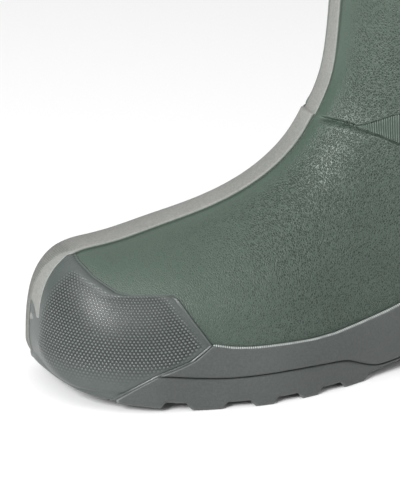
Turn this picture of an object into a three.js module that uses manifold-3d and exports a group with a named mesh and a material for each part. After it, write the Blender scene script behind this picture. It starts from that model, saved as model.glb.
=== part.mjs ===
// A knee-high moulded work boot for the left foot, modelled as its maker puts it together:
// outsole, toe cap, rand, hollow upper with its shaft, and a loose insole.
// Millimetres. +Z is up, the toe points towards -X and the outer side of the foot towards -Y.
import * as THREE from 'three';
import { mergeVertices } from 'three/addons/utils/BufferGeometryUtils.js';
import Module from 'manifold-3d';

const wasm = await Module();
wasm.setup();

// The last: what a boot maker would write on it
const FOOT_LENGTH = 305; // outsole, toe to heel
const BALL_WIDTH = 106; // foot across the ball; the outsole is 1.06 times as wide
const INSTEP_HEIGHT = 135; // floor to the fold at the front of the ankle
const BOOT_HEIGHT = 385; // floor to the collar
const CALF_WIDTH = 126; // shaft at the collar, side to side
const CALF_DEPTH = 146; // shaft at the collar, front to back

// The walls and what stands proud of them
const WALL = 3.2; // foot of the upper
const SHAFT_STEP = 1.2; // the shaft lies this far inside the foot's surface
const RIB_STEP = 2.0; // and so far the ribbed field behind the ankle
const BAND_PROUD = 1.4; // flat band along the front
const TOE_BAND_WIDTH = 19;
const ANKLE_BAND_WIDTH = 13; // and all the way up the shaft
const CAP_PROUD = 1.7; // toe cap over the foot's surface
const CAP_BAND_PROUD = 0.4; // the band over the toe cap
const CAP_FOOT_INSET = 1.0; // the cap's foot, inside the outsole's outline
const RIM_HEIGHT = 14; // thickened edge of the collar
const RIM_PROUD = 1.0;
const RAND_TOP_PROUD = 1.6; // the rand flares from its upper edge
const RAND_FOOT_PROUD = 6.0; // to its lower one
const RAND_OVERHANG = 1.5; // but no further than this outside the outsole's outline

// The sole
const SOLE_HEIGHT = 20; // side of the outsole at the heel
const LUG_DEPTH = 3.5;
const LUG_SLOPE = 3.5; // how far a lug's end leans, top to bottom
const LEDGE = 7; // width of the outsole's ledge that carries the rand
const EDGE_LUG_WIDTH = 20;
const LUG_LANE = 5; // bare lane between the edge lugs and the middle ones
const INSOLE_THICKNESS = 4.5;
const INSOLE_CLEARANCE = 0.8;
const GAP = 0.3; // between neighbouring pieces

// How fine the facets are
const RING_POINTS = 32;
const TOE_RINGS = 7;
const RING_SPACING = 18;
const OUTLINE_POINTS = 72;

const MOSS = 0x4f5f54;
const SOLE_GREY = 0x5c645f;
const INSOLE_GREY = 0x3b3f3d;

// Sections of the last from the toe to the ankle. Each lies in a plane that holds its top
// point and its low point: upright at the toe, and leaning over behind the ball until it is
// level. top and low are [x, z], x as a share of FOOT_LENGTH and z of INSTEP_HEIGHT. ridge
// is where the front line lies across, a share of BALL_WIDTH, as the half widths are. These
// are measured from the ridge at the section's foot, half-way up and at its top, on the
// outer and on the inner side. round says how much of the section's height its top end and
// its low end take to close.
const FOOT_SECTIONS = [
  { top: [0.007, 0.548], low: [0.007, 0.074], ridge: 0.094,
    outer: [0.566, 0.519, 0.400], inner: [0.406, 0.361, 0.278], round: [0.74, 0.10] },
  { top: [0.066, 0.552], low: [0.066, 0.050], ridge: 0.085,
    outer: [0.525, 0.512, 0.410], inner: [0.374, 0.364, 0.290], round: [0.74, 0.10] },
  { top: [0.138, 0.563], low: [0.138, 0.028], ridge: 0.075,
    outer: [0.505, 0.524, 0.441], inner: [0.356, 0.375, 0.311], round: [0.74, 0.12] },
  { top: [0.213, 0.598], low: [0.213, 0.015], ridge: 0.066,
    outer: [0.516, 0.556, 0.476], inner: [0.371, 0.390, 0.335], round: [0.74, 0.15] },
  { top: [0.302, 0.647], low: [0.302, -0.044], ridge: 0.052,
    outer: [0.545, 0.582, 0.496], inner: [0.387, 0.402, 0.345], round: [0.74, 0.16] },
  { top: [0.387, 0.725], low: [0.400, -0.111], ridge: 0.038,
    outer: [0.532, 0.564, 0.487], inner: [0.368, 0.402, 0.354], round: [0.74, 0.15] },
  { top: [0.459, 0.853], low: [0.525, -0.185], ridge: 0.028,
    outer: [0.466, 0.510, 0.449], inner: [0.321, 0.392, 0.364], round: [0.74, 0.12] },
  { top: [0.497, 0.993], low: [0.672, -0.222], ridge: 0.019,
    outer: [0.388, 0.456, 0.430], inner: [0.292, 0.383, 0.373], round: [0.70, 0.15] },
  { top: [0.5195, 1.126], low: [0.836, -0.207], ridge: 0.009,
    outer: [0.358, 0.425, 0.434], inner: [0.302, 0.387, 0.396], round: [0.62, 0.22] },
  { top: [0.529, 1.267], low: [0.970, -0.074], ridge: 0.000,
    outer: [0.349, 0.415, 0.453], inner: [0.330, 0.396, 0.434], round: [0.55, 0.30] },
  { top: [0.5356, 1.407], low: [0.987, 0.222], ridge: 0.000,
    outer: [0.358, 0.415, 0.472], inner: [0.340, 0.406, 0.462], round: [0.52, 0.34] },
];

// Sections of the shaft. front and back are [x, z], x as a share of CALF_DEPTH from the
// shaft's middle and z as the share of the way from INSTEP_HEIGHT to BOOT_HEIGHT; the half
// widths are shares of CALF_WIDTH.
const SHAFT_MIDDLE = 0.761; // share of FOOT_LENGTH from the toe
const ANKLE = 0.49; // the same for the fold at the front of the ankle
const SHAFT_SECTIONS = [
  { front: [-0.4655, 0.292], back: [0.436, -0.180], half: [0.337, 0.377, 0.413], round: [0.50, 0.42] },
  { front: [-0.4655, 0.388], back: [0.390, 0.060], half: [0.389, 0.413, 0.425], round: [0.50, 0.48] },
  { front: [-0.4655, 0.540], back: [0.408, 0.420], half: [0.440, 0.450, 0.452], round: [0.50, 0.50] },
  { front: [-0.482, 0.780], back: [0.463, 0.760], half: [0.484, 0.484, 0.484], round: [0.50, 0.50] },
  { front: [-0.500, 1.000], back: [0.500, 1.000], half: [0.500, 0.500, 0.500], round: [0.50, 0.50] },
];

// The toe closes on one point: shares of FOOT_LENGTH over which each line rounds off to it
const NOSE_HEIGHT = 0.267; // share of INSTEP_HEIGHT
const NOSE = {
  side: { over: 0.203, power: 2.25 },
  top: { over: 0.098, power: 2.5 },
  foot: { over: 0.050, power: 3.0 },
};
const END_POWER = 2.2; // how square a section's ends close

// Outline of the outsole, from the toe along the outer side, round the heel and back along
// the inner side: shares of FOOT_LENGTH and of BALL_WIDTH.
const SOLE_OUTLINE = [
  [0.006, 0.096], [0.0215, -0.157], [0.065, -0.328], [0.138, -0.450], [0.230, -0.519],
  [0.344, -0.576], [0.459, -0.540], [0.574, -0.450], [0.689, -0.407], [0.803, -0.410],
  [0.902, -0.372], [0.974, -0.230], [1.000, -0.009], [0.977, 0.215], [0.908, 0.355],
  [0.803, 0.396], [0.689, 0.396], [0.574, 0.410], [0.459, 0.434], [0.361, 0.468],
  [0.262, 0.481], [0.164, 0.458], [0.072, 0.358], [0.021, 0.240],
];

// Lines along the side of the boot: shares of FOOT_LENGTH, then heights as shares of
// SOLE_HEIGHT for the sole and of INSTEP_HEIGHT for the upper.
const GROUND_LINE = [
  [-0.10, 1.10], [0.010, 0.59], [0.044, 0.385], [0.085, 0.268], [0.131, 0.172], [0.184, 0.070],
  [0.236, 0.0], [1.1, 0.0],
];
const ARCH_LINE = [
  [0.541, 0.165], [0.548, 0.195], [0.564, 0.225], [0.580, 0.265], [0.600, 0.315],
  [0.640, 0.440], [0.698, 0.500],
];
const FEATHER_LINE = [
  [-0.1, 1.05], [0.03, 1.00], [0.13, 0.86], [0.26, 0.76], [0.45, 0.76], [0.56, 0.88],
  [0.69, 1.10], [0.82, 1.24], [1.1, 1.30],
];
const GROOVE_LINE = [
  [-0.1, 1.000], [0.151, 1.000], [0.181, 0.956], [0.212, 0.895], [0.243, 0.850],
  [0.274, 0.830], [0.338, 0.846], [0.373, 0.844], [0.409, 0.829], [0.447, 0.796],
  [0.470, 0.775], [0.486, 0.731], [0.502, 0.630], [0.519, 0.505], [0.535, 0.400],
  [0.550, 0.325], [0.569, 0.315], [0.596, 0.353], [0.615, 0.440], [0.640, 0.580],
  [0.682, 0.790], [0.728, 0.950], [0.787, 1.000], [1.1, 1.000],
];
const PIPING_LINE = [
  [0.120, 0.256], [0.242, 0.256], [0.277, 0.237], [0.315, 0.228], [0.361, 0.223],
  [0.423, 0.217], [0.466, 0.221], [0.515, 0.237], [0.567, 0.259], [0.600, 0.278],
  [0.640, 0.301], [0.705, 0.332], [0.787, 0.352], [1.1, 0.363],
];
const CAP_BACK_LINE = [
  [0.066, 0.600], [0.066, 0.530], [0.079, 0.489], [0.108, 0.443], [0.126, 0.435],
  [0.190, 0.435], [0.198, 0.422], [0.217, 0.344], [0.242, 0.256],
];
const CAP_FOOT_LINE = [[0.210, 0.200], [0.155, 0.148], [0.118, 0.096], [0.092, 0.052], [0.080, -0.100]];
const FOOT_EDGE_LINE = [
  [-0.1, 1.487], [0.489, 0.960], [0.510, 0.961], [0.530, 0.953], [0.540, 0.945], [0.5475, 0.938],
  [0.561, 0.927], [0.576, 0.914], [0.602, 0.885], [0.656, 0.838], [0.738, 0.788], [0.836, 0.760],
  [1.1, 0.745],
];
const SHAFT_EDGE_LINE = [
  [0.530, 0.953], [0.551, 0.963], [0.562, 0.9725], [0.574, 0.983], [0.586, 0.997], [0.604, 1.009],
  [0.656, 1.042], [0.754, 1.087], [0.869, 1.117], [1.1, 1.130],
];

// Lugs: where each one starts and ends along the foot, as shares of FOOT_LENGTH
const EDGE_LUGS = [
  [-0.050, 0.1615], [0.203, 0.262], [0.308, 0.3475], [0.392, 0.431], [0.476, 0.528],
  [0.698, 0.770], [0.808, 0.865], [0.905, 1.050],
];
const MIDDLE_LUGS = [
  [0.105, 0.150], [0.185, 0.230], [0.275, 0.320], [0.365, 0.410], [0.455, 0.500],
  [0.765, 0.810], [0.860, 0.905],
];

const along = (share) => share * FOOT_LENGTH;
const across = (share) => share * BALL_WIDTH;
const soleLine = (rows) => rows.map(([x, z]) => [along(x), z * SOLE_HEIGHT]);
const upperLine = (rows) => rows.map(([x, z]) => [along(x), z * INSTEP_HEIGHT]);
const lerp = THREE.MathUtils.lerp;

/** Natural cubic spline through the values at the knots, as a function. */
function spline(knots, values) {
  const last = knots.length - 1;
  const step = knots.slice(1).map((k, i) => k - knots[i]);
  const slope = step.map((h, i) => (values[i + 1] - values[i]) / h);
  const bend = new Array(last + 1).fill(0);
  const carry = new Array(last + 1).fill(0);
  const half = new Array(last + 1).fill(0);
  for (let i = 1; i < last; i++) {
    const pivot = 2 * (step[i - 1] + step[i]) - step[i - 1] * carry[i - 1];
    carry[i] = step[i] / pivot;
    half[i] = (3 * (slope[i] - slope[i - 1]) - step[i - 1] * half[i - 1]) / pivot;
  }
  for (let i = last - 1; i > 0; i--) bend[i] = half[i] - carry[i] * bend[i + 1];
  return (at) => {
    let i = 0;
    while (i < last - 1 && at >= knots[i + 1]) i++;
    const d = at - knots[i];
    const rise = slope[i] - (step[i] * (2 * bend[i] + bend[i + 1])) / 3;
    return values[i] + rise * d + bend[i] * d * d + ((bend[i + 1] - bend[i]) / (3 * step[i])) * d ** 3;
  };
}

/** Share of full width left at a share q of the way in from an end that closes over r. */
const roundOff = (q, r, power) => (1 - Math.max(0, 1 - q / r) ** power) ** (1 / power);

// All sections in millimetres, and one spline for each of their columns
const section = ([topX, topZ], [lowX, lowZ], ridge, outer, inner, [topRound, lowRound]) => ({
  topX, topZ, lowX, lowZ, ridge, topRound, lowRound,
  outerLow: outer[0], outerMid: outer[1], outerHigh: outer[2],
  innerLow: inner[0], innerMid: inner[1], innerHigh: inner[2],
});
const footPoint = ([x, z]) => [along(x), z * INSTEP_HEIGHT];
const shaftPoint = ([x, z]) => [
  along(SHAFT_MIDDLE) + x * CALF_DEPTH,
  lerp(INSTEP_HEIGHT, BOOT_HEIGHT, z),
];
const footSection = ({ top, low, ridge, outer, inner, round }) => (
  section(footPoint(top), footPoint(low), across(ridge), outer.map(across), inner.map(across), round));
const shaftSection = ({ front, back, half, round }) => {
  const wide = half.map((share) => share * CALF_WIDTH);
  return section(shaftPoint(front), shaftPoint(back), 0, wide, wide, round);
};
const sections = [...FOOT_SECTIONS.map(footSection), ...SHAFT_SECTIONS.map(shaftSection)];
const stations = [0];
for (let i = 1; i < sections.length; i++) {
  const [a, b] = [sections[i - 1], sections[i]];
  const front = Math.hypot(b.topX - a.topX, b.topZ - a.topZ);
  const back = Math.hypot(b.lowX - a.lowX, b.lowZ - a.lowZ);
  stations.push(stations[i - 1] + (front + back) / 2);
}
const columnOf = (key) => [key, spline(stations, sections.map((s) => s[key]))];
const column = Object.fromEntries(Object.keys(sections[0]).map(columnOf));
const COLLAR = stations.at(-1);

/** Point of the last's surface at a station, with turn from -1 round the top (0) to 1. */
function lastPoint(station, turn) {
  const at = Object.fromEntries(Object.entries(column).map(([key, f]) => [key, f(station)]));
  const side = turn < 0 ? 'outer' : 'inner';
  const noseZ = NOSE_HEIGHT * INSTEP_HEIGHT;
  const share = Math.max(0, at.topX - sections[0].topX) / FOOT_LENGTH;
  const topZ = lerp(noseZ, at.topZ, roundOff(share, NOSE.top.over, NOSE.top.power));
  const lowZ = lerp(noseZ, at.lowZ, roundOff(share, NOSE.foot.over, NOSE.foot.power));
  const up = (1 + Math.cos(Math.PI * turn)) / 2;
  const low = at[side + 'Low'] * (1 - up) * (1 - 2 * up);
  const middle = at[side + 'Mid'] * 4 * up * (1 - up);
  const high = at[side + 'High'] * up * (2 * up - 1);
  const ends = roundOff(1 - up, at.topRound, END_POWER) * roundOff(up, at.lowRound, END_POWER);
  const half = (low + middle + high) * ends * roundOff(share, NOSE.side.over, NOSE.side.power);
  const x = lerp(at.lowX, at.topX, up);
  const y = at.ridge + Math.sign(turn) * half;
  return new THREE.Vector3(x, y, lerp(lowZ, topZ, up));
}

/** Where the last's rings lie: close together round the toe, then at an even spacing. */
function ringStations() {
  const toe = along(NOSE.top.over);
  const rings = [];
  for (let i = 1; i <= TOE_RINGS; i++) {
    const quarter = (i / TOE_RINGS) * (Math.PI / 2);
    rings.push(toe * (1 - Math.cos(quarter)));
  }
  const count = Math.ceil((COLLAR - toe) / RING_SPACING);
  for (let i = 1; i <= count; i++) rings.push(lerp(toe, COLLAR, i / count));
  return rings;
}

/** Outward normal of the last, from two short steps along its surface. */
function lastNormal(station, turn) {
  const small = 0.01;
  const s0 = Math.max(station - 0.5, 0.02);
  const alongStep = lastPoint(Math.min(station + 0.5, COLLAR), turn).sub(lastPoint(s0, turn));
  const roundStep = lastPoint(station, turn + small).sub(lastPoint(station, turn - small));
  return alongStep.cross(roundStep).normalize();
}

const turnAt = (j) => -1 + (2 * j) / RING_POINTS;
const rings = ringStations().map((station) => Array.from({ length: RING_POINTS }, (_, j) => ({
  point: lastPoint(station, turnAt(j)),
  normal: lastNormal(station, turnAt(j) === -1 ? -0.999 : turnAt(j)),
})));

/** A geometry as a solid that can be joined and cut. */
function solid(geometry) {
  geometry.deleteAttribute('normal');
  geometry.deleteAttribute('uv');
  const merged = mergeVertices(geometry, 1e-4);
  return new wasm.Manifold(new wasm.Mesh({
    numProp: 3,
    vertProperties: new Float32Array(merged.attributes.position.array),
    triVerts: new Uint32Array(merged.index.array),
  }));
}

/** The last grown by proud(point) millimetres along its normals, closed, and raised at the top. */
function lastForm(proud, raise = 0) {
  const grow = typeof proud === 'function' ? proud : () => proud;
  const positions = [];
  const put = ({ point, normal }) => {
    const grown = point.clone().addScaledVector(normal, grow(point));
    positions.push(...grown.toArray());
  };
  const nose = { point: lastPoint(0, 0), normal: new THREE.Vector3(-1, 0, 0) };
  put(nose);
  for (const ring of rings) ring.forEach(put);
  if (raise > 0) {
    for (const { point, normal } of rings.at(-1)) {
      put({ point: point.clone().setZ(point.z + raise), normal });
    }
  }
  const ringCount = rings.length + (raise > 0 ? 1 : 0);
  const crown = positions.length / 3;
  positions.push(along(SHAFT_MIDDLE), 0, BOOT_HEIGHT + raise);
  const at = (ring, j) => 1 + ring * RING_POINTS + (j % RING_POINTS);
  const faces = [];
  for (let j = 0; j < RING_POINTS; j++) {
    faces.push(0, at(0, j), at(0, j + 1));
    for (let r = 0; r + 1 < ringCount; r++) {
      faces.push(at(r, j), at(r + 1, j + 1), at(r, j + 1), at(r, j), at(r + 1, j), at(r + 1, j + 1));
    }
    faces.push(at(ringCount - 1, j + 1), at(ringCount - 1, j), crown);
  }
  const geometry = new THREE.BufferGeometry();
  geometry.setAttribute('position', new THREE.Float32BufferAttribute(positions, 3));
  geometry.setIndex(faces);
  return solid(geometry);
}

/** A block with the given side view, right across the boot. */
function sideBlock(points, reach = BALL_WIDTH * 2) {
  const shape = new THREE.Shape(points.map(([x, z]) => new THREE.Vector2(x, z)));
  const geometry = new THREE.ExtrudeGeometry(shape, { depth: reach, bevelEnabled: false });
  return solid(geometry.rotateX(Math.PI / 2).translate(0, reach / 2, 0));
}

/** A block with the given plan. */
function planBlock(points, lowZ, highZ) {
  const shape = new THREE.Shape(points.map(([x, y]) => new THREE.Vector2(x, y)));
  const block = new THREE.ExtrudeGeometry(shape, { depth: highZ - lowZ, bevelEnabled: false });
  return solid(block.translate(0, 0, lowZ));
}

/** The outsole's outline, drawn in by inset millimetres, less the points that would cross over. */
function soleOutline(inset = 0) {
  const points = SOLE_OUTLINE.map(([x, y]) => new THREE.Vector3(along(x), across(y), 0));
  const curve = new THREE.CatmullRomCurve3(points, true, 'catmullrom', 0.5);
  const edge = Array.from({ length: OUTLINE_POINTS }, (_, i) => curve.getPoint(i / OUTLINE_POINTS));
  const moved = edge.map((p, i) => {
    const heading = curve.getTangent(i / OUTLINE_POINTS);
    return [p.x - heading.y * inset, p.y + heading.x * inset];
  });
  return moved.filter(([x, y]) => edge.every((p) => Math.hypot(x - p.x, y - p.y) >= inset * 0.98));
}

/** The middle of the sole in plan, inset millimetres in from both sides and both ends. */
function soleMiddle(inset) {
  const edge = soleOutline();
  const heel = edge.indexOf(edge.reduce((far, p) => (p[0] > far[0] ? p : far)));
  const outer = edge.slice(0, heel + 1);
  const inner = [edge[0], ...edge.slice(heel).reverse()];
  const stops = Array.from({ length: 15 }, (_, i) => lerp(inset, FOOT_LENGTH - inset, i / 14));
  const near = stops.map((x) => [x, heightAt(outer, x) + inset]);
  const far = stops.map((x) => [x, heightAt(inner, x) - inset]);
  return [...near, ...far.reverse()];
}

/** Everything above a side line given as a list of [x, z], below one, and between two. */
const FAR = BOOT_HEIGHT + CALF_DEPTH;
const above = (line) => sideBlock([...line, [line.at(-1)[0], FAR], [line[0][0], FAR]]);
const below = (line) => sideBlock([[line[0][0], -FAR], [line.at(-1)[0], -FAR], ...[...line].reverse()]);
const between = (low, high) => above(low).intersect(below(high));
const shifted = (line, dx, dz) => line.map(([x, z]) => [x + dx, z + dz]);
const heightAt = (line, x) => {
  const i = Math.min(Math.max(line.findIndex((p) => p[0] > x), 1), line.length - 1);
  const [[x0, z0], [x1, z1]] = [line[i - 1], line[i]];
  return lerp(z0, z1, THREE.MathUtils.clamp((x - x0) / (x1 - x0), 0, 1));
};

const feather = soleLine(FEATHER_LINE);
const groove = soleLine(GROOVE_LINE);
const ground = soleLine(GROUND_LINE);
const piping = upperLine(PIPING_LINE);
const capBack = upperLine(CAP_BACK_LINE);
const capFoot = upperLine(CAP_FOOT_LINE);

/** What lies in front of the toe cap's rear edge, moved back by slip. */
function toeRegion(slip) {
  const edge = shifted([...capBack, ...capFoot], slip, 0);
  return sideBlock([
    [-along(0.1), INSTEP_HEIGHT],
    [edge[0][0], INSTEP_HEIGHT],
    ...edge,
    [-along(0.1), edge.at(-1)[1]],
  ]);
}

/** The strip along the front line, in plan, that the flat band fills, and clear all round it. */
function bandRegion(startX, clear = 0) {
  const middle = [];
  for (const station of [0, ...ringStations()]) {
    const x = column.topX(station);
    const clearOfLast = middle.length === 0 || x > middle.at(-1)[0] + 1;
    if (x >= startX && clearOfLast) {
      middle.push([x, column.ridge(station)]);
    }
  }
  middle.unshift([startX, middle[0][1]]);
  middle.push([along(SHAFT_MIDDLE), 0]);
  const half = (x) => {
    const share = THREE.MathUtils.clamp(x / along(ANKLE), 0, 1);
    return lerp(TOE_BAND_WIDTH, ANKLE_BAND_WIDTH, share) / 2 + clear;
  };
  const near = middle.map(([x, y]) => [x, y - half(x)]);
  const far = middle.map(([x, y]) => [x, y + half(x)]);
  return planBlock([...near, ...far.reverse()], NOSE_HEIGHT * INSTEP_HEIGHT, FAR);
}

/** Upper: one hollow wall, stepped at the ankle, with the front band and the collar's rim. */
function makeUpper() {
  const foot = below(upperLine(FOOT_EDGE_LINE));
  const start = capBack[0][0] + GAP;
  const shaftEdge = upperLine(SHAFT_EDGE_LINE);
  const joint = shifted(upperLine(FOOT_EDGE_LINE).slice(0, 4), 0, -GAP);
  const shaft = above([[-along(0.1), joint[0][1]], ...joint, ...shaftEdge.slice(1)]);
  const rim = above([[-along(0.1), BOOT_HEIGHT - RIM_HEIGHT], [along(1.3), BOOT_HEIGHT - RIM_HEIGHT]]);
  const skin = lastForm(-RIB_STEP)
    .add(lastForm(0).intersect(foot))
    .add(lastForm(-SHAFT_STEP).intersect(shaft))
    .add(lastForm(BAND_PROUD).intersect(foot).intersect(bandRegion(start)))
    .add(lastForm(BAND_PROUD - SHAFT_STEP).intersect(shaft).intersect(bandRegion(start)))
    .add(lastForm(RIM_PROUD - SHAFT_STEP).intersect(rim));
  return skin.subtract(lastForm(-WALL, RIM_HEIGHT)).intersect(above(shifted(feather, 0, GAP)));
}

/** The room that the upper's foot takes in the pieces round it. */
const footRoom = () => lastForm(GAP).intersect(above(feather));

/** Toe cap: the bumper that wraps the toe from the tread up to the front band. */
function makeToeCap() {
  const region = toeRegion(-GAP / 2).intersect(above(ground));
  const band = lastForm(CAP_PROUD + CAP_BAND_PROUD).intersect(bandRegion(-along(0.05)));
  const outline = planBlock(soleOutline(CAP_FOOT_INSET), -SOLE_HEIGHT, SOLE_HEIGHT * 2);
  const foot = outline.intersect(below(feather));
  const bandRoom = lastForm(BAND_PROUD + GAP).intersect(bandRegion(capBack[0][0], GAP));
  const form = lastForm(CAP_PROUD).add(band).add(foot);
  return form.intersect(region).subtract(footRoom()).subtract(bandRoom);
}

/** Rand: the strip round the joint of upper and sole, flaring down to the outsole's edge. */
function makeRand() {
  const drop = (p) => {
    const top = heightAt(piping, p.x);
    return THREE.MathUtils.clamp((top - p.z) / (top - heightAt(groove, p.x)), 0, 1);
  };
  const form = lastForm((p) => lerp(RAND_TOP_PROUD, RAND_FOOT_PROUD, drop(p)));
  const strip = between(shifted(groove, 0, GAP), piping);
  const inside = planBlock(soleOutline(LEDGE - GAP), -SOLE_HEIGHT, INSTEP_HEIGHT / 2);
  const core = inside.intersect(below(shifted(feather, 0, GAP)));
  const reach = planBlock(soleOutline(-RAND_OVERHANG), -SOLE_HEIGHT, INSTEP_HEIGHT);
  const flare = form.intersect(strip).intersect(reach);
  return flare.subtract(toeRegion(GAP / 2)).subtract(footRoom()).subtract(core);
}

/** One lug, sloped at both ends, as a block right across the sole. */
function lugBlock([start, end]) {
  const [x0, x1] = [along(start), along(end)];
  const lean = LUG_SLOPE / 2;
  return sideBlock([
    [x0 + lean, -LUG_DEPTH],
    [x1 - lean, -LUG_DEPTH],
    [x1 - lean, 0],
    [x1 + lean, LUG_DEPTH],
    [x1 + lean, SOLE_HEIGHT],
    [x0 - lean, SOLE_HEIGHT],
    [x0 - lean, LUG_DEPTH],
    [x0 + lean, 0],
  ]);
}

/** Outsole: plate with a ledge for the rand, arched at the waist, and lugs under it. */
function makeOutsole() {
  const tread = shifted(ground, 0, LUG_DEPTH);
  const arch = below(soleLine(ARCH_LINE));
  const outline = planBlock(soleOutline(), -SOLE_HEIGHT, SOLE_HEIGHT * 2);
  const core = planBlock(soleOutline(LEDGE), -SOLE_HEIGHT, SOLE_HEIGHT * 2);
  const ledge = outline.intersect(between(tread, groove)).subtract(arch).subtract(footRoom());
  const plate = core.intersect(between(tread, feather)).subtract(arch);
  const lane = outline.subtract(planBlock(soleMiddle(EDGE_LUG_WIDTH), -SOLE_HEIGHT, SOLE_HEIGHT * 2));
  const middle = planBlock(soleMiddle(EDGE_LUG_WIDTH + LUG_LANE), -SOLE_HEIGHT, SOLE_HEIGHT * 2);
  const lugs = [
    ...EDGE_LUGS.map((lug) => lane.intersect(lugBlock(lug))),
    ...MIDDLE_LUGS.map((lug) => middle.intersect(lugBlock(lug))),
  ];
  const layer = between(ground, shifted(tread, 0, 1));
  const whole = lugs.reduce((sole, lug) => sole.add(lug.intersect(layer)), ledge.add(plate));
  return whole.subtract(toeRegion(GAP / 2));
}

/** Insole: the loose footbed on the floor of the boot. */
function makeInsole() {
  const slab = between(shifted(feather, 0, GAP), shifted(feather, 0, GAP + INSOLE_THICKNESS));
  return lastForm(-WALL - INSOLE_CLEARANCE).intersect(slab);
}

/** A finished piece as a named mesh with flat facets. */
function piece(name, body, color, roughness) {
  const { vertProperties, triVerts, numProp } = body.getMesh();
  const positions = new Float32Array((vertProperties.length / numProp) * 3);
  for (let i = 0; i < positions.length / 3; i++) {
    for (let k = 0; k < 3; k++) positions[i * 3 + k] = vertProperties[i * numProp + k];
  }
  const geometry = new THREE.BufferGeometry();
  geometry.setAttribute('position', new THREE.BufferAttribute(positions, 3));
  geometry.setIndex(new THREE.BufferAttribute(new Uint32Array(triVerts), 1));
  geometry.computeVertexNormals();
  const finish = new THREE.MeshStandardMaterial({ color, roughness, metalness: 0, flatShading: true });
  const mesh = new THREE.Mesh(geometry, finish);
  mesh.name = name;
  return mesh;
}

const boot = new THREE.Group();
boot.name = 'tall_boot';
boot.add(
  piece('outsole', makeOutsole(), SOLE_GREY, 0.75),
  piece('rand', makeRand(), SOLE_GREY, 0.7),
  piece('toe_cap', makeToeCap(), MOSS, 0.6),
  piece('upper', makeUpper(), MOSS, 0.55),
  piece('insole', makeInsole(), INSOLE_GREY, 0.95),
);

// The origin is on the floor, under the middle of the boot's box
const box = new THREE.Box3().setFromObject(boot);
const centre = box.getCenter(new THREE.Vector3());
boot.position.set(-centre.x, -centre.y, -box.min.z);
boot.updateMatrixWorld(true);

export default boot;
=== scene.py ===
"""A knee-high moulded work boot for the left foot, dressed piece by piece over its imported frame.
The boot is worked out in the last's own millimetres, toe at x 0, and then put into the frame."""
import math

import bpy
import numpy as np
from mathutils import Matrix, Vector


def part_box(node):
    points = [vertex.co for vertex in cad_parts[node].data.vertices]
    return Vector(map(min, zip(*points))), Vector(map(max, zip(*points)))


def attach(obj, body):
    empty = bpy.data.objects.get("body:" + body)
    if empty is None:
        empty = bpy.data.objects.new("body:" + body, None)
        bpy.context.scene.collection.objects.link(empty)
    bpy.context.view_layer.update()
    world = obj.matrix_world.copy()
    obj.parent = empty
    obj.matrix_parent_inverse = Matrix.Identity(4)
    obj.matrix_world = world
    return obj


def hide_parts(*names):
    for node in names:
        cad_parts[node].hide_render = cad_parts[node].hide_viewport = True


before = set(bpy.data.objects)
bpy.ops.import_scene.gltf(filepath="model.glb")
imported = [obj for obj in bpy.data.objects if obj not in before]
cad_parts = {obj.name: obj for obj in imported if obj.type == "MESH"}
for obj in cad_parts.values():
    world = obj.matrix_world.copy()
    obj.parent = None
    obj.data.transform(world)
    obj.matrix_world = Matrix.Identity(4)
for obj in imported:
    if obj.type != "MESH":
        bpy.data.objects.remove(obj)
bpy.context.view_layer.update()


# Upper: one hollow wall of soft foamed rubber, moulded over a last in a single shot. The foot
# steps down into a recess behind the ankle, the shaft lies a little deeper than the foot, a
# flat band runs up the front, and the collar ends in a thickened rim over a knitted lining.
FOOT_LENGTH = 305.0
BALL_WIDTH = 106.0
INSTEP_HEIGHT = 135.0
BOOT_HEIGHT = 385.0
CALF_WIDTH = 126.0
CALF_DEPTH = 146.0
SHAFT_MIDDLE = 0.761 * FOOT_LENGTH
ANKLE_X = 0.49 * FOOT_LENGTH
SOLE_HEIGHT = 20.0
NOSE_Z = 0.267 * INSTEP_HEIGHT
NOSE_SIDE = (0.203, 2.25)
NOSE_TOP = (0.098, 2.5)
NOSE_FOOT = (0.050, 3.0)
END_POWER = 2.2
WALL = 3.2
SHAFT_STEP = 1.2
RIB_STEP = 2.4
BAND_PROUD = 1.4
TOE_BAND_HALF = 9.5
ANKLE_BAND_HALF = 6.5
# Share of its width that the band keeps on the shaft, and the heights between which it narrows
SHAFT_BAND_SHARE = 0.74
SHAFT_BAND_CLIMB = (142.0, 205.0)
RIM_HEIGHT = 14.0
RIM_PROUD = 1.0
FEATHER_GAP = 0.3

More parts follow.
